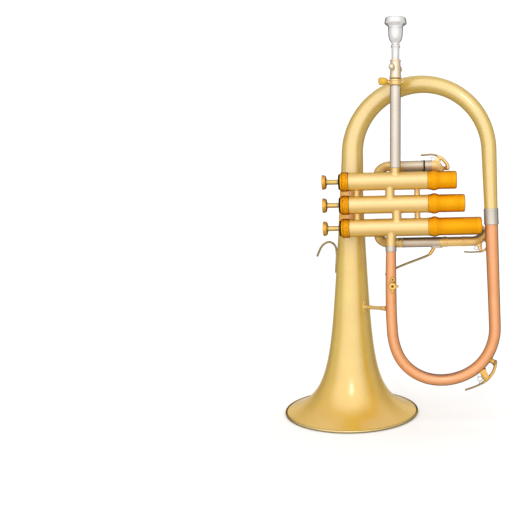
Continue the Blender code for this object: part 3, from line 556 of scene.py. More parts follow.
axis_leg = Vector((-math.sin(LEAN), 0, math.cos(LEAN)))
prof = fillet([(7.6, -9.1), (7.9, -9.1), (8.25, -8.5), (8.25, -7.2), (8.12, -6.8), (8.12, 6.8), (8.25, 7.2), (8.25, 8.5), (7.9, 9.1), (7.6, 9.1)], 0.3, 3)
Shape().turned(prof, (leg_x(JOINT_Z), TUBE_Y, JOINT_Z), axis_leg, 72, loop=True).build(
    "long_leg_ferrule", FERRULE, HORN, ("bow_ferrule",), "nickel_silver")

path = []
z1 = BOW_C[1] + BOW_R * math.sin(LEAN)
for i in range(40):
    z = JOINT_Z - 0.2 + (z1 - JOINT_Z + 0.2) * i / 40
    path.append((leg_x(z), TUBE_Y, z))
# the bow is not a true half circle: it is eased in at the left and flattened below
BOW_EASE = [(-180, -1.75), (-172, -2.05), (-164, -1.8), (-156, -1.3), (-148, -0.6), (-140, 0.1), (-124, 0.35), (-108, 0.0), (-92, -0.7), (-76, -1.1), (-68, -1.1),
            (-52, -0.65), (-44, -0.45), (-10, -0.4), (0, 0.0), (10, 0.0)]
ease = eased([stations(BOW_EASE, math.degrees(LEAN + (-math.pi - LEAN) * i / 120)) for i in range(121)], 40)
for i in range(121):
    a = LEAN + (-math.pi - LEAN) * i / 120
    rho = BOW_R + ease[i]
    path.append((BOW_C[0] + rho * math.cos(a), TUBE_Y, BOW_C[1] + rho * math.sin(a)))
LEG_EASE = [(108.0, -ease[-1]), (112.0, 1.45), (121.0, 0.8), (141.0, 0.3), (166.0, 0.0), (205.0, 0.0)]
shift = eased([stations(LEG_EASE, BOW_C[1] + (FRONT_JOINT_Z - 0.2 - BOW_C[1]) * i / 48) for i in range(49)], 12)
for i in range(1, 49):
    path.append((LEFT_X + shift[i], TUBE_Y, BOW_C[1] + (FRONT_JOINT_Z - 0.2 - BOW_C[1]) * i / 48))
FRONT_R_AT = [(0.0, 7.35), (0.10, 7.15), (0.20, 6.85), (0.33, 6.65), (0.52, 6.6), (0.75, 6.35), (0.90, 6.2), (0.985, 5.75), (1.0, 5.6)]
rad = eased([stations(FRONT_R_AT, t) for t in lengths(path)], 60)
Shape().swept(path, rad, 56, [r - 0.8 for r in rad]).build("front_bow_tube", COPPER, HORN, ("front_bow",), "rose_brass", 30)
prof = fillet([(5.75, FRONT_FERRULE_Z[0]), (6.0, FRONT_FERRULE_Z[0]), (6.25, FRONT_FERRULE_Z[0] + 0.6), (6.25, FRONT_FERRULE_Z[1] - 0.6),
               (6.0, FRONT_FERRULE_Z[1]), (5.5, FRONT_FERRULE_Z[1])], 0.25, 3)
Shape().turned(prof, (LEFT_X, TUBE_Y, 0), (0, 0, 1), 64, loop=True).build("short_leg_ferrule", FERRULE, HORN, ("front_bow_ferrule",), "nickel_silver")


# =============================================================================
# valve block
# =============================================================================
for i, n in enumerate(ROWS):
    k = str(i + 1)
    o = blk(0, 0, n)
    s0, s1 = CASE_S
    prof = fillet([(CASE_R - 0.05, s0), (CASE_R + 0.18, s0 + 0.3), (CASE_R + 0.18, s0 + 1.4), (CASE_R, s0 + 1.8), (CASE_R, s1 - 1.8),
                   (CASE_R + 0.18, s1 - 1.4), (CASE_R + 0.18, s1 - 0.3), (CASE_R - 0.05, s1), (8.65, s1), (8.65, s0)], 0.2, 2)
    Shape().turned(prof, o, DV, 72, loop=True).build("casing_" + k, TUBE_BRASS, HORN, ("valve_casing_" + k,), "yellow_brass")
    # top cap: knurled band between two plain rings
    prof = [(8.4, s0 - 0.3), (10.3, s0 - 0.3), (10.75, s0 - 0.6), (10.9, s0 - 1.5), (10.7, s0 - 2.2), (10.95, s0 - 2.5)]
    prof += [(11.0, s0 - 2.6 - 4.4 * j / 14) for j in range(15)]
    prof += [(10.7, s0 - 7.2), (9.6, s0 - 7.3), (9.0, s0 - 9.6), (3.2, s0 - 9.6), (3.05, s0 - 9.4), (3.05, s0 - 7.0), (8.4, s0 - 7.0)]
    Shape().turned(prof, o, DV, 168, loop=True, knurl=(s0 - 6.95, s0 - 2.65, 26, 0.42, 2.9)).build("valve_top_" + k, KNURL_GOLD, HORN, ("top_cap_" + k,), "gold_trim", 35)
    ring = fillet([(9.7, s0 - 7.35), (10.7, s0 - 7.35), (10.85, s0 - 7.7), (10.6, s0 - 8.6), (9.9, s0 - 9.4), (9.2, s0 - 9.6), (9.05, s0 - 9.6)], 0.15, 2)
    Shape().turned(ring, o, DV, 96, loop=True).build("valve_top_ring_" + k, GOLD, HORN, (), "gold_trim", 35)
    prof = fillet([(3.05, s0 - 9.75), (8.8, s0 - 9.75), (8.95, s0 - 10.3), (8.9, s0 - 11.1), (8.5, s0 - 11.5), (3.05, s0 - 11.5)], 0.35, 3)
    Shape().turned(prof, o, DV, 56, loop=True).build("stem_felt_" + k, FELT, HORN, ("cap_felt_" + k,), "black_felt")
    # piston and stem
    sh = Shape()
    sh.turned(fillet([(0, -69.8), (2.4, -69.8), (2.4, -44.0), (8.0, -44.0), (8.35, -43.6), (8.35, 21.7), (8.0, 22.0), (3.0, 22.0), (3.0, 20.8),
                      (7.5, 20.8), (7.5, -41.5), (0, -41.5)], 0.2, 2), o, DV, 56)
    sh.build("piston_body_" + k, NICKEL, "valve_" + k, ("piston_" + k,), "nickel_silver")
    # the stem shows in pale brass between button and cap
    sh = Shape()
    sh.turned(fillet([(0, -71.2), (3.4, -71.2), (3.4, -69.6), (2.85, -69.0), (2.8, -62.0), (2.75, -57.4), (0, -57.4)], 0.3, 3), o, DV, 48)
    sh.build("stem_sleeve_" + k, STEM_BRASS, "valve_" + k, (), "yellow_brass")
    b0 = -75.1
    prof = fillet([(0, b0 + 0.9), (5.4, b0 + 0.7), (7.2, b0 + 0.2), (7.9, b0), (8.35, b0 + 0.4), (8.4, b0 + 1.1), (8.1, b0 + 1.6), (8.15, b0 + 2.1), (7.5, b0 + 4.0),
                   (6.9, b0 + 4.6), (4.0, b0 + 4.9), (0, b0 + 5.0)], 0.3, 3)
    Shape().turned(prof, o, DV, 64).build("button_" + k, BUTTON, "valve_" + k, ("finger_button_" + k,), "gold_trim", 35)
    # bottom cap with a knurled bulge and turned lines
    end = (77.4, 86.4, 105.0)[i]
    prof = [(8.0, s1 + 0.3), (10.2, s1 + 0.3), (10.45, s1 + 0.7), (10.5, s1 + 1.9), (10.35, s1 + 2.3), (10.7, s1 + 2.8)]
    prof += [(10.75 + 1.0 * math.sin(math.pi * j / 24), s1 + 3.0 + 8.0 * j / 24) for j in range(25)]
    prof += [(10.5, s1 + 11.3), (10.2, s1 + 12.2), (10.12, s1 + 13.0), (9.95, s1 + 13.2), (10.12, s1 + 13.45)]
    prof += [(10.12, end - 6.2), (9.98, end - 5.95), (10.12, end - 5.7)]
    prof += [(10.12 - 1.9 * (1 - math.cos(math.radians(a))), end - 1.9 + 1.9 * math.sin(math.radians(a))) for a in range(0, 91, 15)]
    prof += [(4.2, end), (3.6, end - 0.5), (2.4, end - 0.6), (2.0, end - 0.9), (2.0, end - 2.5), (7.6, end - 2.5), (7.6, 60.5), (2.5, 60.5), (2.5, 58.0), (8.0, 58.0)]
    Shape().turned(prof, o, DV, 168, loop=True, knurl=(s1 + 3.4, s1 + 10.6, 26, 0.4, 3.2)).build("valve_bottom_" + k, GOLD, HORN, ("bottom_cap_" + k,), "gold_trim", 35)
    # return spring between the piston and the shelf
    turns, steps = 6, 150
    coil = []
    for j in range(steps + 1):
        t = j / steps
        a = 2 * math.pi * turns * t
        p = o + DV * (23.0 + 34.2 * t) + YV * (5.6 * math.cos(a)) + NV * (5.6 * math.sin(a))
        coil.append(p)
    spring = Shape().swept(coil, 0.5, 8, normal=(0, 1, 0)).build("return_spring_" + k, STEEL, HORN, ("valve_spring_" + k,), "spring_steel")
    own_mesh(spring)

# ringed braces between the casings
for label, n in (("12", PITCH / 2), ("23", -PITCH / 2)):
    h = PITCH / 2 - CASE_R
    for end, s in (("button_end", -36.0), ("cap_end", 32.4)):
        wide = 4.15 if end == "button_end" else 3.55
        prof = fillet([(0, -h - 0.4), (wide, -h - 0.4), (wide, -h + 0.8), (wide - 0.55, -h + 1.15), (wide - 0.6, -0.75), (wide - 0.1, -0.5), (wide - 0.1, 0.5),
                       (wide - 0.6, 0.75), (wide - 0.55, h - 1.15), (wide, h - 0.8), (wide, h + 0.4), (0, h + 0.4)], 0.2, 2)
        Shape().turned(prof, blk(s, 0, n), NV, 40).build("brace_%s_%s" % (label, end), PALE, HORN, ("casing_brace_%s_%s" % (label, end),), "yellow_brass")


def saddle(n_row, s0, e, f, off, r, lip=1.7, seg=56):
    """Rings of a soldered saddle: from the casing wall up a fillet to a tube of radius r.
    e is the direction the tube leaves in, f the other cross direction, off the offset along f."""
    o = blk(0, 0, n_row)
    rings = []
    for rho, d in ((r + lip, -0.25), (r + lip, 0.16 + 0.07 * lip), (r + lip * 0.8, 0.3 + 0.12 * lip), (r + lip * 0.45, 0.42 + 0.12 * lip), (r + lip * 0.18, 0.65 + 0.12 * lip), (r + lip * 0.04, 1.1), (r, 1.8)):
        ring = []
        for k in range(seg):
            a = 2 * math.pi * k / seg
            x, y = s0 + rho * math.cos(a), off + rho * math.sin(a)
            h = math.sqrt(max(CASE_R ** 2 - min(abs(y), CASE_R - 0.25) ** 2, 0.0)) + d
            ring.append(o + DV * x + f * y + e * h)
        rings.append(ring)
    return rings


def saddled(name, rings, nodes, mat, body=HORN, slot="yellow_brass"):
    sh = Shape()
    idx = [sh.ring(r) for r in rings]
    sh.skin(idx)
    sh.cap(idx[0])
    sh.cap(idx[-1])
    return sh.build(name, mat, body, nodes, slot, 50)


PORT_OFF = -2.6
for name, node, s, hi, lo in (("port_first", "port_tube_12", 1.6, 0, 1), ("port_second", "port_tube_23", 8.9, 1, 2)):
    up = saddle(ROWS[lo], s, NV, YV, PORT_OFF, 5.35, 0.45)
    dn = saddle(ROWS[hi], s, -NV, YV, PORT_OFF, 5.35, 0.45)
    saddled(name, up + dn[::-1], (node,), PALE)


def flat_ring(centre, r, seg=56, u=DV, v=YV):
    return [centre + u * (r * math.cos(2 * math.pi * k / seg)) + v * (r * math.sin(2 * math.pi * k / seg)) for k in range(seg)]


# =============================================================================
# mouthpipe
# =============================================================================
PIPE_X = 52.3
PIPE = Vector((PIPE_X, TUBE_Y, 0))
UP = Vector((0, 0, 1))
XV = Vector((1, 0, 0))

# entry knuckle: saddle on the first casing, its neck inside the mouthpipe's foot
s_in = (PIPE_X - 45.0) * math.cos(TILT) + 0.62
rings = saddle(ROWS[0], s_in, NV, YV, -2.6, 5.2, 0.45)
for z, r in ((290.9, 5.2), (292.4, 5.2), (292.6, 4.65), (293.6, 4.65), (293.6, 4.2)):
    rings.append(flat_ring(PIPE + UP * z, r, 56, XV, YV))
saddled("entry_elbow", rings, ("entry_knuckle",), PALE)

s_out = (LEFT_X - 45.0) - 0.62
rings = saddle(ROWS[2], s_out, -NV, YV, TUBE_Y - VALVE_O.y, 5.65, 0.4)
for z, r in ((208.0, 5.65), (205.0, 5.65), (201.5, 5.4), (201.5, 4.6)):
    rings.append(flat_ring(Vector((LEFT_X, TUBE_Y, z)), r, 56, XV, YV))
saddled("exit_elbow", rings, ("exit_knuckle",), PALE)

prof = fillet([(4.75, 292.8), (5.85, 292.8), (6.05, 293.1), (6.05, 382.4), (6.2, 382.7), (6.2, 383.5), (4.75, 383.5)], 0.15, 2)
Shape().turned(prof, PIPE, UP, 64, loop=True).build("mouthpipe_outer", NICKEL, HORN, ("leadpipe_outer_tube",), "nickel_silver")
prof = fillet([(3.9, 335.0), (4.5, 335.0), (4.5, 391.5), (3.9, 391.5)], 0.2, 2)
Shape().turned(prof, PIPE, UP, 56, loop=True).build("mouthpipe_inner", NICKEL, "mouthpipe_slide", ("leadpipe_inner_tube",), "nickel_silver")

CLAMP = PIPE + UP * 387.6
sh = Shape().turned(fillet([(4.9, -3.6), (6.3, -3.6), (7.1, -2.9), (7.3, -1.4), (6.95, -0.9), (6.95, 0.9), (7.3, 1.4), (7.1, 2.9), (6.3, 3.6), (4.9, 3.6)], 0.4, 3), CLAMP, UP, 64, loop=True)
sh.turned(fillet([(1.9, -8.4), (2.6, -8.4), (2.9, -8.1), (2.9, -7.3), (2.6, -6.9), (3.1, -6.2), (1.9, -6.2)], 0.3, 3), CLAMP, XV, 40, loop=True)
sh.turned(fillet([(0, 6.2), (2.3, 6.2), (2.0, 7.0), (1.9, 8.6), (1.2, 9.4), (0, 9.5)], 0.5, 3), CLAMP, XV, 40)
sh.build("mouthpipe_clamp", PALE, HORN, ("clamp_ring",), "yellow_brass")

# thumb screw: shank, collar and a flat spade thinned by its own outline
sh = Shape().turned(fillet([(0, -10.2), (1.9, -10.2), (2.35, -9.6), (2.35, -8.7), (1.55, -8.6), (1.55, -5.4), (0, -5.4)], 0.25, 2), CLAMP, XV, 36)
spade = []
for k in range(48):
    a = 2 * math.pi * k / 48
    c, s = math.cos(a), math.sin(a)
    w = 4.2 * (1.0 - 0.20 * c) * math.copysign(abs(s) ** 0.72, s)
    spade.append((-13.7 + 5.5 * math.copysign(abs(c) ** 0.72, c), w))
sh.slab(spade, 2.3, CLAMP + UP * 1.1, XV, UP, 0.75)
sh.build("clamp_thumb", THUMB_GOLD, "clamp_screw_unit", ("clamp_screw",), "gold_trim", 50)

prof = fillet([(4.35, 391.8), (6.3, 391.8), (6.7, 392.3), (6.7, 393.5), (6.35, 394.0), (6.15, 395.0), (5.75, 405.0), (5.55, 410.2), (5.95, 410.7), (5.95, 412.0), (5.7, 412.3), (4.8, 412.3)], 0.3, 3)
sh = Shape().turned(prof, PIPE, UP, 64, loop=True)
for kx, ky, kz in ((-4.1, -7.6, 403.5), (4.1, 7.6, 403.0)):
    d = Vector((kx, ky, 0)).normalized()
    base = PIPE + UP * kz
    sh.turned(fillet([(0, 4.6), (2.2, 4.6), (1.8, 5.6), (1.5, 6.0), (1.7, 6.4), (0, 6.4)], 0.3, 2), base, d, 28)
    sh.ball(base + Vector((kx, ky, 0)), 3.4, 32)
sh.build("receiver", CREAM, "mouthpipe_slide", ("mouthpiece_receiver",), "yellow_brass")

T = 457.9
prof = [(8.2, T - 1.3), (8.6, T - 0.6), (9.2, T - 0.15), (9.9, T), (10.7, T - 0.12), (11.35, T - 0.55), (11.75, T - 1.3), (11.9, T - 2.4), (12.1, T - 4.2), (12.4, T - 5.5),
        (12.3, T - 6.3), (11.7, T - 7.0), (10.4, T - 8.0), (9.1, T - 8.9), (8.5, T - 9.8), (8.35, T - 10.9), (8.5, T - 11.5), (8.7, T - 11.8), (8.45, T - 12.3), (8.3, T - 14.0),
        (8.2, T - 16.5), (8.05, T - 18.8), (7.75, T - 21.0), (7.2, T - 23.0), (6.4, T - 24.7), (5.4, T - 26.0), (4.6, T - 27.0), (4.2, T - 28.3), (4.45, T - 29.5), (5.15, T - 30.1),
        (5.4, T - 31.0), (5.2, T - 31.8), (4.5, T - 32.3), (4.35, T - 33.6), (4.3, T - 38.0), (4.25, 412.3), (3.85, 395.2), (3.7, 395.0), (3.1, 395.0), (2.0, T - 30.0), (1.9, T - 26.0),
        (2.3, T - 21.5), (4.2, T - 18.0), (6.0, T - 14.5), (7.2, T - 10.0), (7.95, T - 5.0)]
Shape().turned(prof, PIPE, UP, 96, loop=True).build("mouthpiece_cup", SILVER, "mouthpiece_unit", ("mouthpiece",), "silver_plate", 35)


# =============================================================================
# valve slides
# =============================================================================
SR, SB, LR, LB = 5.55, 4.95, 4.6, 4.0
NEAR_Y, FAR_Y, FAR_STEP = 16.0, 38.0, 14.0


def ferrule_profile(r, a, b, lift=0.35, hole=None):
    return fillet([(hole or r - 0.3, a), (r + 0.1, a), (r + lift, a + 0.45), (r + lift, a + 1.2), (r + 0.12, a + 1.6), (r + 0.12, b - 1.6), (r + lift, b - 1.2), (r + lift, b - 0.45),
                   (r + 0.1, b), (hole or r - 0.3, b)], 0.2, 2)


def slide_elbow(name, row, y, n, elbow_s, elbow_r, end_s, nodes, mat=SLIDE_BRASS):
    """Saddle on the casing, bend, then the first stretch of the leg."""
    toward = Vector((0.0 - y, ROWS[row] - n))
    dist = toward.length
    d = (YV * toward.x + NV * toward.y) / dist
    e, f = -d, DV.cross(d)
    rings = saddle(ROWS[row], elbow_s - elbow_r, e, f, 0.0, SR, 1.5, 48)
    leg = blk(0, y, n)

    def station(c, along, across):
        return [c + across * (SR * math.cos(2 * math.pi * k / 48)) + along.cross(across).normalized() * (SR * math.sin(2 * math.pi * k / 48)) for k in range(48)]

    # bend, sampled finely; across stays in the plane of the bend
    path = []
    for j in range(0, 31):
        a = math.radians(90 - 3 * j)
        path.append((leg + DV * (elbow_s - elbow_r * math.sin(a)) + d * (elbow_r * (1 - math.cos(a))), math.radians(3 * j)))
    out = []
    for c, b in path:
        t = (e * math.cos(b) + DV * math.sin(b)).normalized()
        across = (DV * math.cos(b) - e * math.sin(b)).normalized()
        out.append([c + across * (SR * math.cos(2 * math.pi * k / 48)) + f * (SR * math.sin(2 * math.pi * k / 48)) for k in range(48)])
    first = (path[0][0] - blk(elbow_s - elbow_r, 0, ROWS[row])).dot(e)
    keep = [r for r in out]
    if first < CASE_R + 2.2:
        keep = [r for r, (c, b) in zip(out, path) if (c - blk(0, 0, ROWS[row])).dot(e) - SR * math.sin(b) > CASE_R + 1.2 and b > math.radians(6)]
    last = path[-1][0]
    end_c = leg + DV * end_s
    keep.append([end_c + (out[-1][k] - last) for k in range(48)])
    sh = Shape()
    idx = [sh.ring(r) for r in rings + keep]
    sh.skin(idx)
    sh.cap(idx[0])
    inner = sh.ring([end_c + (out[-1][k] - last) * (LB / SR) for k in range(48)])
    sh.skin([idx[-1], inner])
    sh.cap(inner)
    return sh.build(name, mat, HORN, nodes, "yellow_brass", 50)


def leg_tube(sh, y, n, a, b, r, hole, segs=48):
    sh.turned(fillet([(hole, a), (r - 0.05, a), (r, a + 0.15), (r, b - 0.15), (r - 0.05, b), (hole, b)], 0.12, 2), blk(0, y, n), DV, segs, loop=True)
    return sh


def crook(sh, y, n, span, start_s, bend_s, r, segs=40, bore=None):
    """Half turn joining two legs."""
    dist = span.length
    w = (YV * span.x + NV * span.y) / dist
    rad = dist / 2
    o = blk(0, y, n)
    path = [o + DV * (start_s + (bend_s - start_s) * i / 6) for i in range(6)]
    for j in range(49):
        a = math.pi * j / 48
        path.append(o + DV * (bend_s + rad * math.sin(a)) + w * (rad * (1 - math.cos(a))))
    path += [o + w * dist + DV * (bend_s + (start_s - bend_s) * i / 6) for i in range(1, 7)]
    sh.swept(path, r, segs, bore or r - 0.8, normal=DV.cross(w))
    return path


# --- first slide
S1N, S1F, S1FY = 43.45, 34.95, 28.4
S1_SPAN = Vector((S1FY - NEAR_Y, S1F - S1N))
slide_elbow("slide_1_elbow_near", 0, NEAR_Y, S1N, 2.5, 14.0, 15.6, ("slide_1_tube_near",))
slide_elbow("slide_1_elbow_far", 0, S1FY, S1F, 16.5, 14.0, 17.2, ("slide_1_tube_far",))
for label, y, n, a in (("near", NEAR_Y, S1N, 15.6), ("far", S1FY, S1F, 17.2)):
    sh = leg_tube(Shape(), y, n, a, 40.4, SR, SB)
    sh.turned(fillet([(SB, 38.4), (SR + 0.05, 38.4), (SR + 0.3, 38.8), (SR + 0.3, 40.0), (SR + 0.05, 40.4), (SB, 40.4)], 0.15, 2), blk(0, y, n), DV, 48, loop=True)
    sh.build("slide_1_sleeve_" + label, SLIDE_NICKEL, HORN, (), "nickel_silver")
    sh = leg_tube(Shape(), y, n, 17.5, 42.2, LR, LB)
    leg_tube(sh, y, n, 42.2, 50.2, SR, LB)
    sh.build("slide_1_leg_" + label, SLIDE_NICKEL, "first_slide", (), "nickel_silver")
    # dark bumper ring between sleeve and bow
    Shape().turned(fillet([(LR + 0.05, 40.6), (SR + 0.2, 40.6), (SR + 0.55, 40.9), (SR + 0.55, 41.8), (SR + 0.2, 42.1), (LR + 0.05, 42.1)], 0.2, 3), blk(0, y, n), DV, 48, loop=True).build(
        "slide_1_bumper_" + label, BUMPER, "first_slide", (), "black_felt")
sh = Shape()
s1_path = crook(sh, NEAR_Y, S1N, S1_SPAN, 50.2, 50.6, SR)
sh.build("slide_1_crook", LIGHTENED_CROOK_BRASS, "first_slide", ("slide_1_bow",), "yellow_brass", 50)

# --- third slide
S3N, S3F = -45.2, -28.5
S3_SPAN = Vector((FAR_Y - NEAR_Y, S3F - S3N))
slide_elbow("slide_3_elbow_near", 2, NEAR_Y, S3N, -0.7, 11.5, 10.0, ("slide_3_tube_near",))
slide_elbow("slide_3_elbow_far", 2, FAR_Y, S3F, 13.3, 11.5, 13.5, ("slide_3_tube_far",))
for label, y, n, a in (("near", NEAR_Y, S3N, 9.6), ("far", FAR_Y, S3F, 13.1)):
    if label == "near":
        sh = Shape().turned(ferrule_profile(SR, a, 14.5, 0.3, LB), blk(0, y, n), DV, 48, loop=True)
    else:
        sh = Shape().turned(fillet([(LB, a), (SR + 0.1, a), (SR + 0.4, a + 0.4), (SR + 0.4, 14.2), (SR + 0.1, 14.5), (LB, 14.5)], 0.15, 2), blk(0, y, n), DV, 48, loop=True)
    leg_tube(sh, y, n, 14.0, 62.0, LR, LB)
    sh.build("slide_3_leg_" + label, TOP_SHADED_BRASS if label == "near" else SLIDE_BRASS, HORN, (), "yellow_brass")
    sh = leg_tube(Shape(), y, n, 14.8, 61.6, 5.7, SB)
    sh.turned(fillet([(SB, 14.8), (5.8, 14.8), (6.0, 15.2), (6.0, 16.4), (5.75, 16.8), (SB, 16.8)], 0.15, 2), blk(0, y, n), DV, 48, loop=True)
    sh.build("slide_3_sleeve_" + label, TOP_SHADED_NICKEL if label == "near" else SLIDE_NICKEL, "third_slide", (), "nickel_silver")
sh = Shape()
s3_path = crook(sh, NEAR_Y, S3N, S3_SPAN, 61.6, 94.9, 5.55)
for y, n in ((NEAR_Y, S3N), (FAR_Y, S3F)):
    # collar with a tongue that runs forward over the sleeve
    rows = []
    for r, a, b in ((5.72, 0.0, 0.0), (6.0, 0.25, 0.0), (6.05, 0.6, 0.0), (6.0, 66.2, 1.0), (5.75, 66.6, 1.0), (5.5, 66.8, 1.0)):
        row = []
        for k in range(64):
            t = 2 * math.pi * k / 64
            tongue = 62.4 - 5.6 * (0.5 - 0.5 * math.cos(t)) ** 3.0
            at = a if b else tongue + a
            row.append(blk(at, y + r * math.cos(t), n + r * math.sin(t)))
        rows.append(row)
    idx = [sh.ring(r) for r in rows]
    sh.skin(idx)
    sh.turned(ferrule_profile(5.5, 84.0, 88.4, 0.4, 4.9), blk(0, y, n), DV, 48, loop=True)
sh.build("slide_3_crook", TOP_SHADED_BRASS, "third_slide", ("slide_3_bow",), "yellow_brass", 50)

# --- second slide
S2S, S2_END, S2_BOW = (-12.0, 14.0), 29.0, 39.0
for label, s in (("left", S2S[0]), ("right", S2S[1])):
    rings = saddle(0.0, s, YV, NV, 0.0, SR, 1.4, 48)
    o = blk(s, 0, 0)
    for y, r in ((26.6, SR), (26.9, SR + 0.4), (28.6, SR + 0.4), (28.9, SR), (28.9, SB), (12.0, SB)):
        rings.append([o + YV * y + DV * (r * math.cos(2 * math.pi * k / 48)) + NV * (r * math.sin(2 * math.pi * k / 48)) for k in range(48)])
    saddled("slide_2_stub_" + label, rings, ("slide_2_tube_" + label,), SLIDE_BRASS)
o = blk(1.0, 0, 0)
path, rad = [], []
r2 = 13.0
for y, r in ((16.0, LR), (29.2, LR), (29.3, SR + 0.3), (30.6, SR + 0.3), (30.9, SR), (36.0, SR)):
    path.append(o - DV * r2 + YV * y)
    rad.append(r)
for j in range(49):
    a = math.pi * j / 48
    path.append(o - DV * (r2 * math.cos(a)) + YV * (S2_BOW + r2 * math.sin(a)))
    rad.append(SR)
for y, r in ((36.0, SR), (30.9, SR), (30.6, SR + 0.3), (29.3, SR + 0.3), (29.2, LR), (16.0, LR)):
    path.append(o + DV * r2 + YV * y)
    rad.append(r)
sh = Shape().swept(path, rad, 40, 4.0, normal=tuple(NV))
tip = o + YV * (S2_BOW + r2 + SR - 0.6)
sh.turned(fillet([(0, -0.6), (1.5, -0.6), (1.2, 1.0), (1.0, 1.6), (2.3, 2.6), (2.5, 3.6), (2.0, 4.6), (0, 4.9)], 0.4, 3), tip, YV, 32)
sh.build("slide_2_crook", SLIDE_BRASS, "second_slide", ("slide_2_bow",), "yellow_brass", 50)

# --- finger hook of the third slide: foot plate, bent strip, long flat finger
HY = VALVE_O.y + NEAR_Y
foot = fillet([(95.0, -3.6), (105.6, -3.2), (107.4, 0.0), (105.6, 3.2), (95.0, 3.6), (93.4, 0.0)], 1.4, 4, closed=True)
sh = Shape().slab(foot, 2.6, (0, HY, 201.9), XV, YV, 0.6)
sh.build("slide_3_hook_foot", SLIDE_NICKEL, "third_slide", (), "nickel_silver", 50)
sh = Shape()
pts = curve([(97.6, HY, 201.6), (96.2, HY, 198.9), (94.6, HY, 196.2), (92.4, HY, 193.4), (89.4, HY, 191.4)], 8)
m = len(pts) - 1
sh.swept(pts, [2.05 - 0.15 * i / m - 0.75 * smoothstep((i / m - 0.6) / 0.4) for i in range(m + 1)], 24, None, (0, 1, 0), (1.5, 1.0), 2.6)
sh.build("slide_3_hook_arm", YGOLD, "third_slide", (), "yellow_brass", 50)
pts = curve([(90.2, HY, 191.8), (85.1, HY, 189.5), (75.7, HY, 185.9), (64.1, HY, 181.4), (54.0, HY, 177.1), (46.6, HY, 173.2), (41.2, HY, 169.3)], 10)
m = len(pts) - 1
sh = Shape().swept(pts, [1.22 - 0.15 * i / m for i in range(m + 1)], 20, None, (0, 1, 0), (3.0, 1.0), 3.0, dome=True)
sh.build("slide_3_hook", OLIVE, "third_slide", ("slide_3_finger_hook",), "yellow_brass", 50)


# =============================================================================
# water keys
# =============================================================================
def water_key(prefix, pivot, spine, cup_at, cup_dir, cup_r, body, key_body, nodes, foot_at, foot_w, nipple_at, nipple_r, tail=0.75, arm=1.45, mat=YGOLD, foot_mat=None, waist=0.64):
    """Lever with barrel and cork cup on its body; fork, pin and nipple on the tube's body."""
    P = Vector(pivot)
    y = P.y
    sh = Shape()
    pts = curve([(x, y, z) for x, z in spine], 8)
    n = len(pts)
    # the touch piece is thin, the arm over the cup is stout
    wide = [arm + (tail - arm) * smoothstep((i / (n - 1) - 0.45) / 0.3) for i in range(n)]
    cut = int(n * 0.62)
    sh.swept(pts[:cut + 1], wide[:cut + 1], 20, None, (0, 1, 0), (1.6, 1.0), 2.6, dome=True)
    touch = Shape().swept(pts[cut:], wide[cut:], 20, None, (0, 1, 0), (1.7, 1.0), 2.6, dome=True)
    touch.build(prefix + "_touch", OLIVE, key_body, (), "yellow_brass", 50)
    sh.turned(fillet([(1.0, -1.75), (1.9, -1.75), (2.15, -1.45), (2.15, 1.45), (1.9, 1.75), (1.0, 1.75)], 0.2, 2), P, YV, 28, loop=True)
    cd = Vector(cup_dir).normalized()
    C = Vector(cup_at)
    Shape().turned(fillet([(0, -0.9), (cup_r * 0.6, -0.8), (cup_r * 0.92, 0.0), (cup_r, 0.7), (cup_r, 1.5), (cup_r - 0.4, 1.5), (cup_r - 0.4, 0.8), (0, 0.8)], 0.3, 3), C, cd, 32).build(
        prefix + "_cup", KEY_GOLD, key_body, (), "yellow_brass", 50)
    sh.build(prefix + "_lever", mat, key_body, nodes[:1], "yellow_brass", 50)
    Shape().turned(fillet([(0, 0.85), (cup_r - 0.45, 0.85), (cup_r - 0.45, 2.0), (cup_r - 0.7, 2.3), (0, 2.3)], 0.25, 2), C, cd, 28).build(prefix + "_cork", CORK, key_body, (), "yellow_brass")
    # nipple on the tube, facing the cork
    sh = Shape()
    N = Vector(nipple_at)
    nd = (C + cd * 2.4 - N)
    L = nd.length
    nd.normalize()
    sh.turned(fillet([(0, -1.4), (nipple_r + 0.9, -1.4), (nipple_r + 0.6, 0.3), (nipple_r, 0.9), (nipple_r, L - 0.5), (nipple_r - 0.3, L - 0.05), (0.9, L - 0.05), (0.9, L - 1.4), (0, L - 1.4)], 0.25, 2), N, nd, 32)
    # fork with its pin: broad at the tube, waisted, rounded over the pin
    F = Vector(foot_at)
    up = (P - F).normalized()
    lng = YV.cross(up).normalized()
    h = (P - F).length
    for sgn in (-1, 1):
        ear = fillet([(-foot_w, -1.0), (foot_w, -1.0), (foot_w * (0.64 + 0.35 * waist), h * 0.28), (foot_w * (0.24 + 0.76 * waist), h * 0.62), (foot_w * waist, h), (foot_w * waist * 0.62, h + 1.7), (-foot_w * waist * 0.62, h + 1.7), (-foot_w * waist, h), (-foot_w * (0.24 + 0.76 * waist), h * 0.62), (-foot_w * (0.64 + 0.35 * waist), h * 0.28)], 0.9, 4, closed=True)
        sh.slab(ear, 1.35, F + YV * (sgn * 2.68), lng, up, 0.25)
        sh.turned(fillet([(0, 0.0), (1.5, 0.0), (1.45, 0.5), (1.0, 0.8), (0, 0.85)], 0.2, 2), P + YV * (sgn * 3.3), YV * sgn, 24)
    base = fillet([(-foot_w - 0.3, -3.5), (foot_w + 0.3, -3.5), (foot_w + 0.3, 3.5), (-foot_w - 0.3, 3.5)], 1.0, 4, closed=True)
    sh.slab(base, 1.5, F + up * 0.2, lng, YV, 0.35)
    sh.turned(fillet([(0, -3.3), (0.8, -3.3), (0.8, 3.3), (0, 3.3)], 0.1, 1), P, YV, 16)
    sh.build(prefix + "_saddle", foot_mat or mat, body, nodes[1:], "yellow_brass", 50)
    return P


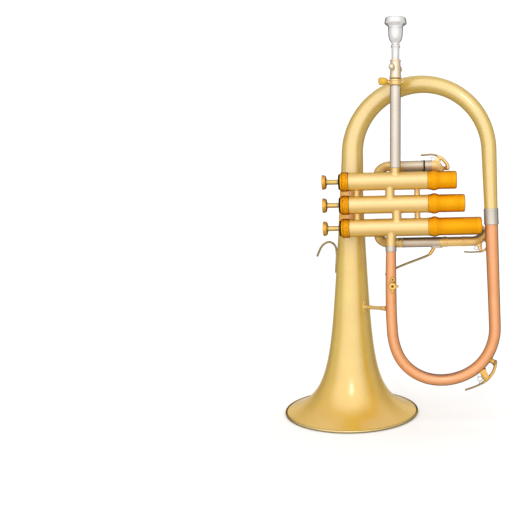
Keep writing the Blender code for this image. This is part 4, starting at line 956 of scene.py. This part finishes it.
def key_spring(prefix, centre, tail_tube, tail_lever, body, hand=1.0, r=2.9, width=3.2):
    """Torsion spring: two coils, one tail on the tube, one under the lever."""
    P = Vector(centre)
    pts = [Vector(tail_tube)]
    a0 = math.atan2(tail_tube[2] - P.z, tail_tube[0] - P.x)
    a1 = math.atan2(tail_lever[2] - P.z, tail_lever[0] - P.x)
    sweep = (a1 - a0) + 4 * math.pi * hand
    for i in range(57):
        t = i / 56
        a = a0 + sweep * t
        pts.append(P + Vector((r * math.cos(a), width * (t - 0.5), r * math.sin(a))))
    pts.append(Vector(tail_lever))
    Shape().swept(pts, 0.36, 8, normal=(0, 1, 0)).build(prefix + "_spring", STEEL, body, (), "spring_steel")


def on_bow(angle, radius):
    a = math.radians(angle)
    return Vector((BOW_C[0] + radius * math.cos(a), TUBE_Y, BOW_C[1] + radius * math.sin(a)))


MAIN = (158.1, TUBE_Y, 51.0)
water_key("main_key", MAIN, [(168.6, 69.6), (167.8, 65.2), (166.1, 59.9), (163.7, 55.8), (160.4, 51.6), (156.4, 47.8), (153.2, 45.6), (148.6, 43.2), (141.7, 40.3), (134.3, 37.7)],
          on_bow(-32.6, 72.2), (-0.842, 0, 0.539), 3.6, HORN, "main_key", ("main_water_key", "main_key_saddle"), on_bow(-45.9, 65.9), 4.1, on_bow(-32.6, 65.8), 2.9, 0.95, 1.6, YGOLD, None, 0.86)
key_spring("main_key", (150.2, TUBE_Y - 4.6, 52.0), tuple(on_bow(-53.0, 66.2) + Vector((0, -3.0, 0))), (149.6, TUBE_Y - 1.6, 44.4), HORN, -1.0, 2.7, 2.2)

K1 = (102.5, -16.0, 303.6)
c1 = s1_path[6 + 24]
water_key("slide_1_key", K1, [(112.7, 292.2), (112.8, 294.9), (111.4, 297.8), (108.6, 301.2), (106.1, 303.7), (102.8, 305.7), (98.4, 307.6), (94.2, 308.4), (87.1, 308.1), (82.1, 307.6)],
          (111.9, -14.6, 293.2), (-0.97, 0.2, -0.1), 2.6, "first_slide", "first_slide_key", ("slide_1_water_key", "slide_1_key_saddle"), (100.0, -17.0, 299.2), 4.3,
          c1 + Vector((1.0, 0, 0.1)).normalized() * 5.4, 2.1, 1.05, 1.9, KEY_BRASS)
key_spring("slide_1_key", (95.6, -18.8, 302.8), (92.2, -17.6, 301.3), (93.2, -17.0, 305.0), "first_slide", 1.0, 2.3, 2.0)

K3 = (151.2, -20.2, 199.0)
c3 = s3_path[6 + 16]
water_key("slide_3_key", K3, [(157.6, 211.6), (158.8, 208.6), (159.2, 204.8), (158.3, 201.0), (155.6, 198.0), (151.6, 196.6), (146.2, 196.2), (139.8, 195.8), (132.8, 196.2)],
          (158.2, -19.8, 210.0), (-0.75, 0.62, 0.22), 2.6, "third_slide", "third_slide_key", ("slide_3_water_key", "slide_3_key_saddle"), (149.6, -18.6, 205.2), 3.0,
          c3 + Vector((0.75, -0.62, -0.22)).normalized() * 5.2, 2.2, 0.85, 1.2, KEY_BRASS)
key_spring("slide_3_key", (146.2, -22.8, 201.0), (144.2, -21.4, 203.6), (142.8, -20.8, 199.5), "third_slide", -1.0, 2.2, 2.0)


# =============================================================================
# small furniture
# =============================================================================
def bell_plate(sh, angle, z_mid, half_h, half_w, thick, power=1.6, taper=1.0):
    """Thin pad that follows the bell's wall."""
    rings = []
    m = 40
    for shrink, lift in ((1.0, -0.5), (1.0, 0.35 * thick), (0.94, 0.8 * thick), (0.82, thick), (0.4, thick), (0.02, thick)):
        ring = []
        for k in range(m):
            t = 2 * math.pi * k / m
            c, s = math.cos(t), math.sin(t)
            q = (abs(c) ** power + abs(s) ** power) ** (-1 / power)
            z = z_mid + half_h * shrink * q * s
            r = bell_surface(z) + lift
            a = angle + half_w * shrink * q * c / bell_surface(z)
            ring.append((r * math.cos(a), r * math.sin(a), z))
        rings.append(sh.ring(ring))
    sh.skin(rings)
    sh.cap(rings[0])
    sh.cap(rings[-1])


# brace from bell to front bow
Z_B = 130.4
reach = Vector((LEFT_X, TUBE_Y, 0))
u = reach.normalized()
b0, b1 = bell_surface(Z_B), reach.length - 5.9
L = b1 - b0
ang = math.atan2(u.y, u.x)
sh = Shape()
bell_plate(sh, ang, Z_B - 0.8, 8.6, 4.2, 0.7)
sh.build("bell_stay_plate", BELL_BRASS, HORN, (), "yellow_brass", 50)
rise = Vector((u.x, u.y, 0.06)).normalized()
prof = fillet([(0, -0.6), (3.7, -0.6), (3.1, 0.7), (2.6, 1.4), (2.9, 2.1), (2.9, 2.9), (2.6, 3.6), (2.45, 6.0), (2.1, L * 0.40), (2.1, L * 0.62), (2.5, L - 5.0), (2.85, L - 4.0),
               (2.85, L - 3.2), (2.55, L - 2.6), (3.4, L - 0.6), (3.7, L + 0.4), (0, L + 0.4)], 0.5, 3)
sh = Shape().turned(prof, Vector((u.x * b0, u.y * b0, Z_B - 0.8)), rise, 40)
sh.build("bell_stay", PALE, HORN, ("bell_brace",), "yellow_brass", 50)

# post between middle casing and bell throat
sh = Shape()
y0 = VALVE_O.y + CASE_R
y1 = -math.sqrt(14.5 ** 2 - 4.4 ** 2)
D = y1 - y0
prof = fillet([(0, -0.5), (3.9, -0.5), (3.9, 0.6), (2.9, 1.4), (2.3, D * 0.4), (2.3, D * 0.6), (2.9, D - 1.4), (3.9, D - 0.6), (3.9, D + 0.8), (0, D + 0.8)], 0.4, 3)
sh.turned(prof, Vector((4.4, y0, 250.6)), YV, 36).build("throat_post", PALE, HORN, ("valve_bell_brace",), "yellow_brass", 50)

# little-finger hook: strip on the bell's side, flattened wire arch
sh = Shape()
bell_plate(sh, math.pi, 182.6, 14.6, 2.7, 1.5, 3.0)
pts = curve([(-17.6, 0, 186.0), (-18.0, 0, 192.0), (-18.4, 0, 196.6), (-19.8, 0, 200.8), (-22.6, 0, 203.8), (-27.0, 0, 205.3), (-32.0, 0, 203.5), (-36.2, 0, 199.3), (-38.9, 0, 194.0), (-41.0, 0, 188.7)], 8)
sh.swept(pts, 1.2, 20, None, (0, 1, 0), (1.9, 1.0), 2.3, dome=True)
sh.build("finger_rest", OLIVE, HORN, ("pinky_hook",), "yellow_brass", 50)

# lyre socket: narrow pad with a screw eye above, split boss and cross hole
LY = Vector((LEFT_X + 2.0, TUBE_Y - 5.4, 159.2))
sh = Shape()
pad = []
for k in range(64):
    t = 2 * math.pi * k / 64
    c, q = math.cos(t), math.sin(t)
    mid = 4.0 * math.exp(-(q / 0.42) ** 2)
    pad.append(((2.5 + mid * 0.35) * c - 0.2, 8.6 * q + (0.3 if q > 0 else 0.0)))
sh.slab(pad, 2.0, LY + Vector((-0.2, -0.6, 0.4)), XV, UP, 0.5)
prof = fillet([(1.3, 0.3), (4.5, 0.3), (4.5, -1.0), (4.0, -1.5), (4.4, -2.3), (4.4, -4.6), (3.9, -5.3), (1.7, -5.3), (1.3, -4.9)], 0.35, 3)
sh.turned(prof, LY, YV, 48, loop=True)
sh.turned(fillet([(1.0, 0.0), (2.6, 0.0), (2.75, -1.6), (2.3, -2.6), (1.3, -2.6), (1.0, -2.3)], 0.3, 3), LY + Vector((0.1, -0.6, 7.4)), YV, 36, loop=True)
sh.turned(fillet([(0, 0.0), (2.1, 0.0), (2.1, -1.5), (1.5, -2.2), (0, -2.3)], 0.4, 3), LY + Vector((0, -0.6, -5.9)), YV, 32)
sh.turned(fillet([(0, 4.0), (1.2, 4.0), (1.2, 5.0), (1.6, 5.2), (1.6, 6.3), (1.2, 6.7), (0, 6.8)], 0.2, 2), LY + Vector((0, -3.3, 0.2)), XV, 24)
sh.build("lyre_holder", YGOLD, HORN, ("lyre_socket",), "yellow_brass", 50)
dark = soft("bore_shade", (0.16, 0.08, 0.012), (0.24, 0.13, 0.02), 0.8, 900.0, 0.2)
sh = Shape().turned([(0, -4.4), (1.35, -4.4), (1.35, 0.2), (0, 0.2)], LY, YV, 24)
sh.turned([(0, -2.3), (1.05, -2.3), (1.05, 0.0), (0, 0.0)], LY + Vector((0.1, -0.6, 7.4)), YV, 24)
sh.build("lyre_bore", dark, HORN, (), "yellow_brass")

# =============================================================================
# stage: floor, light, camera
# =============================================================================
floor_mat, nt, b = new_material("pale_floor")
b.inputs["Base Color"].default_value = (0.93, 0.93, 0.93, 1.0)
b.inputs["Roughness"].default_value = 0.95
b.inputs["Specular IOR Level"].default_value = 0.0
me = bpy.data.meshes.new("floor")
me.from_pydata([(-6, -6, -0.0006), (6, -6, -0.0006), (6, 6, -0.0006), (-6, 6, -0.0006)], [], [(0, 1, 2, 3)])
me.materials.append(floor_mat)
floor = bpy.data.objects.new("floor", me)
bpy.context.scene.collection.objects.link(floor)
floor.visible_glossy = False


def area(name, at, target, size, power, colour=(1, 1, 1)):
    d = bpy.data.lights.new(name, "AREA")
    d.shape = "RECTANGLE"
    d.size, d.size_y = size
    d.energy = power
    d.color = colour
    o = bpy.data.objects.new(name, d)
    o.location = at
    o.rotation_euler = (Vector(target) - Vector(at)).to_track_quat("-Z", "Y").to_euler()
    bpy.context.scene.collection.objects.link(o)
    return o


area("spot", (0.02, -1.8, 1.12), (0.0, 0.0, 0.15), (0.16, 0.45), 3.2)

world = bpy.data.worlds.new("studio")
bpy.context.scene.world = world
world.use_nodes = True
nt = world.node_tree
nt.nodes.clear()
out = nt.nodes.new("ShaderNodeOutputWorld")
lp = nt.nodes.new("ShaderNodeLightPath")
tc = nt.nodes.new("ShaderNodeTexCoord")
sep = nt.nodes.new("ShaderNodeSeparateXYZ")
link(nt, tc.outputs["Generated"], sep.inputs["Vector"])
mr = nt.nodes.new("ShaderNodeMapRange")
mr.inputs["From Min"].default_value = -1.0
mr.inputs["From Max"].default_value = 1.0
link(nt, sep.outputs["Y"], mr.inputs["Value"])


def surround(stops):
    """Brightness of the studio from front (0) to back (1)."""
    ramp = nt.nodes.new("ShaderNodeValToRGB")
    for pos, val in stops[1:-1]:
        ramp.color_ramp.elements.new(pos)
    for el, (pos, val) in zip(ramp.color_ramp.elements, stops):
        el.position = pos
        el.color = (val, val * 0.995, val * 0.985, 1)
    link(nt, mr.outputs["Result"], ramp.inputs["Fac"])
    return ramp.outputs["Color"]


def over(z0, z1, low, high):
    t = nt.nodes.new("ShaderNodeMapRange")
    t.interpolation_type = "SMOOTHSTEP"
    t.inputs["From Min"].default_value = z0
    t.inputs["From Max"].default_value = z1
    link(nt, sep.outputs["Z"], t.inputs["Value"])
    m = nt.nodes.new("ShaderNodeMix")
    m.data_type = "RGBA"
    link(nt, t.outputs["Result"], m.inputs["Factor"])
    link(nt, low, m.inputs["A"])
    link(nt, high, m.inputs["B"])
    return m.outputs["Result"]


def across(x0, x1, left, right):
    t = nt.nodes.new("ShaderNodeMapRange")
    t.interpolation_type = "SMOOTHSTEP"
    t.inputs["From Min"].default_value = x0
    t.inputs["From Max"].default_value = x1
    link(nt, sep.outputs["X"], t.inputs["Value"])
    m = nt.nodes.new("ShaderNodeMix")
    m.data_type = "RGBA"
    link(nt, t.outputs["Result"], m.inputs["Factor"])
    link(nt, left, m.inputs["A"])
    link(nt, right, m.inputs["B"])
    return m.outputs["Result"]


level_left = surround(((0.0, 0.58), (0.55, 0.56), (0.66, 0.48), (0.74, 0.34), (0.88, 0.36), (0.95, 0.8)))
level_right = surround(((0.0, 0.58), (0.55, 0.56), (0.66, 0.46), (0.74, 0.31), (0.88, 0.28), (0.95, 0.70)))
level = across(-0.25, 0.25, level_left, level_right)
above = surround(((0.0, 0.55), (0.52, 0.54), (0.64, 0.46), (0.73, 0.34), (0.86, 0.40), (0.94, 1.0)))
zenith = surround(((0.0, 0.46), (0.5, 0.56), (0.78, 0.90), (0.95, 1.15)))
below = surround(((0.0, 0.58), (0.50, 0.54), (0.68, 0.38), (0.78, 0.22), (0.95, 0.40)))
colour = over(-0.45, -0.10, below, over(0.04, 0.24, level, over(0.50, 0.80, above, zenith)))

# large softbox in front, a little left and up
dot = nt.nodes.new("ShaderNodeVectorMath")
dot.operation = "DOT_PRODUCT"
az, el = math.radians(-6.5), math.radians(22.0)
dot.inputs[1].default_value = (math.sin(az) * math.cos(el), -math.cos(az) * math.cos(el), math.sin(el))
link(nt, tc.outputs["Generated"], dot.inputs[0])
core = nt.nodes.new("ShaderNodeMapRange")
core.interpolation_type = "SMOOTHSTEP"
core.inputs["From Min"].default_value = 0.34
core.inputs["From Max"].default_value = 0.80
core.inputs["To Min"].default_value = 0.0
core.inputs["To Max"].default_value = 1.2
link(nt, dot.outputs["Value"], core.inputs["Value"])
add = nt.nodes.new("ShaderNodeVectorMath")
add.operation = "ADD"
link(nt, colour, add.inputs[0])
link(nt, core.outputs["Result"], add.inputs[1])
glossy = nt.nodes.new("ShaderNodeBackground")
link(nt, add.outputs["Vector"], glossy.inputs["Color"])
white = nt.nodes.new("ShaderNodeBackground")
white.inputs["Color"].default_value = (1, 1, 1, 1)
white.inputs["Strength"].default_value = 1.14
mix = nt.nodes.new("ShaderNodeMixShader")
link(nt, lp.outputs["Is Glossy Ray"], mix.inputs["Fac"])
link(nt, white.outputs["Background"], mix.inputs[1])
link(nt, glossy.outputs["Background"], mix.inputs[2])
link(nt, mix.outputs["Shader"], out.inputs["Surface"])

scene = bpy.context.scene
scene.view_settings.view_transform = "Standard"
scene.view_settings.look = "None"
scene.view_settings.exposure = 0.0

cam_data = bpy.data.cameras.new("camera")
cam_data.sensor_width = 36.0
cam_data.lens = 36.0 * 726.0 / 520.0
cam_data.shift_x = (260.0 - 398.45) / 520.0
cam_data.shift_y = (242.93 - 260.0) / 520.0
cam_data.clip_start, cam_data.clip_end = 0.01, 50.0
cam = bpy.data.objects.new("camera", cam_data)
yaw, pitch = math.radians(0.789), math.radians(4.96)
cam.location = mm((67.5, -860.1, 279.15))
view_dir = Vector((-math.sin(yaw) * math.cos(pitch), math.cos(yaw) * math.cos(pitch), -math.sin(pitch)))
roll = Matrix.Rotation(math.radians(0.15), 3, "Z")
cam.rotation_euler = (view_dir.to_track_quat("-Z", "Y").to_matrix() @ roll).to_euler()
scene.collection.objects.link(cam)
scene.camera = cam
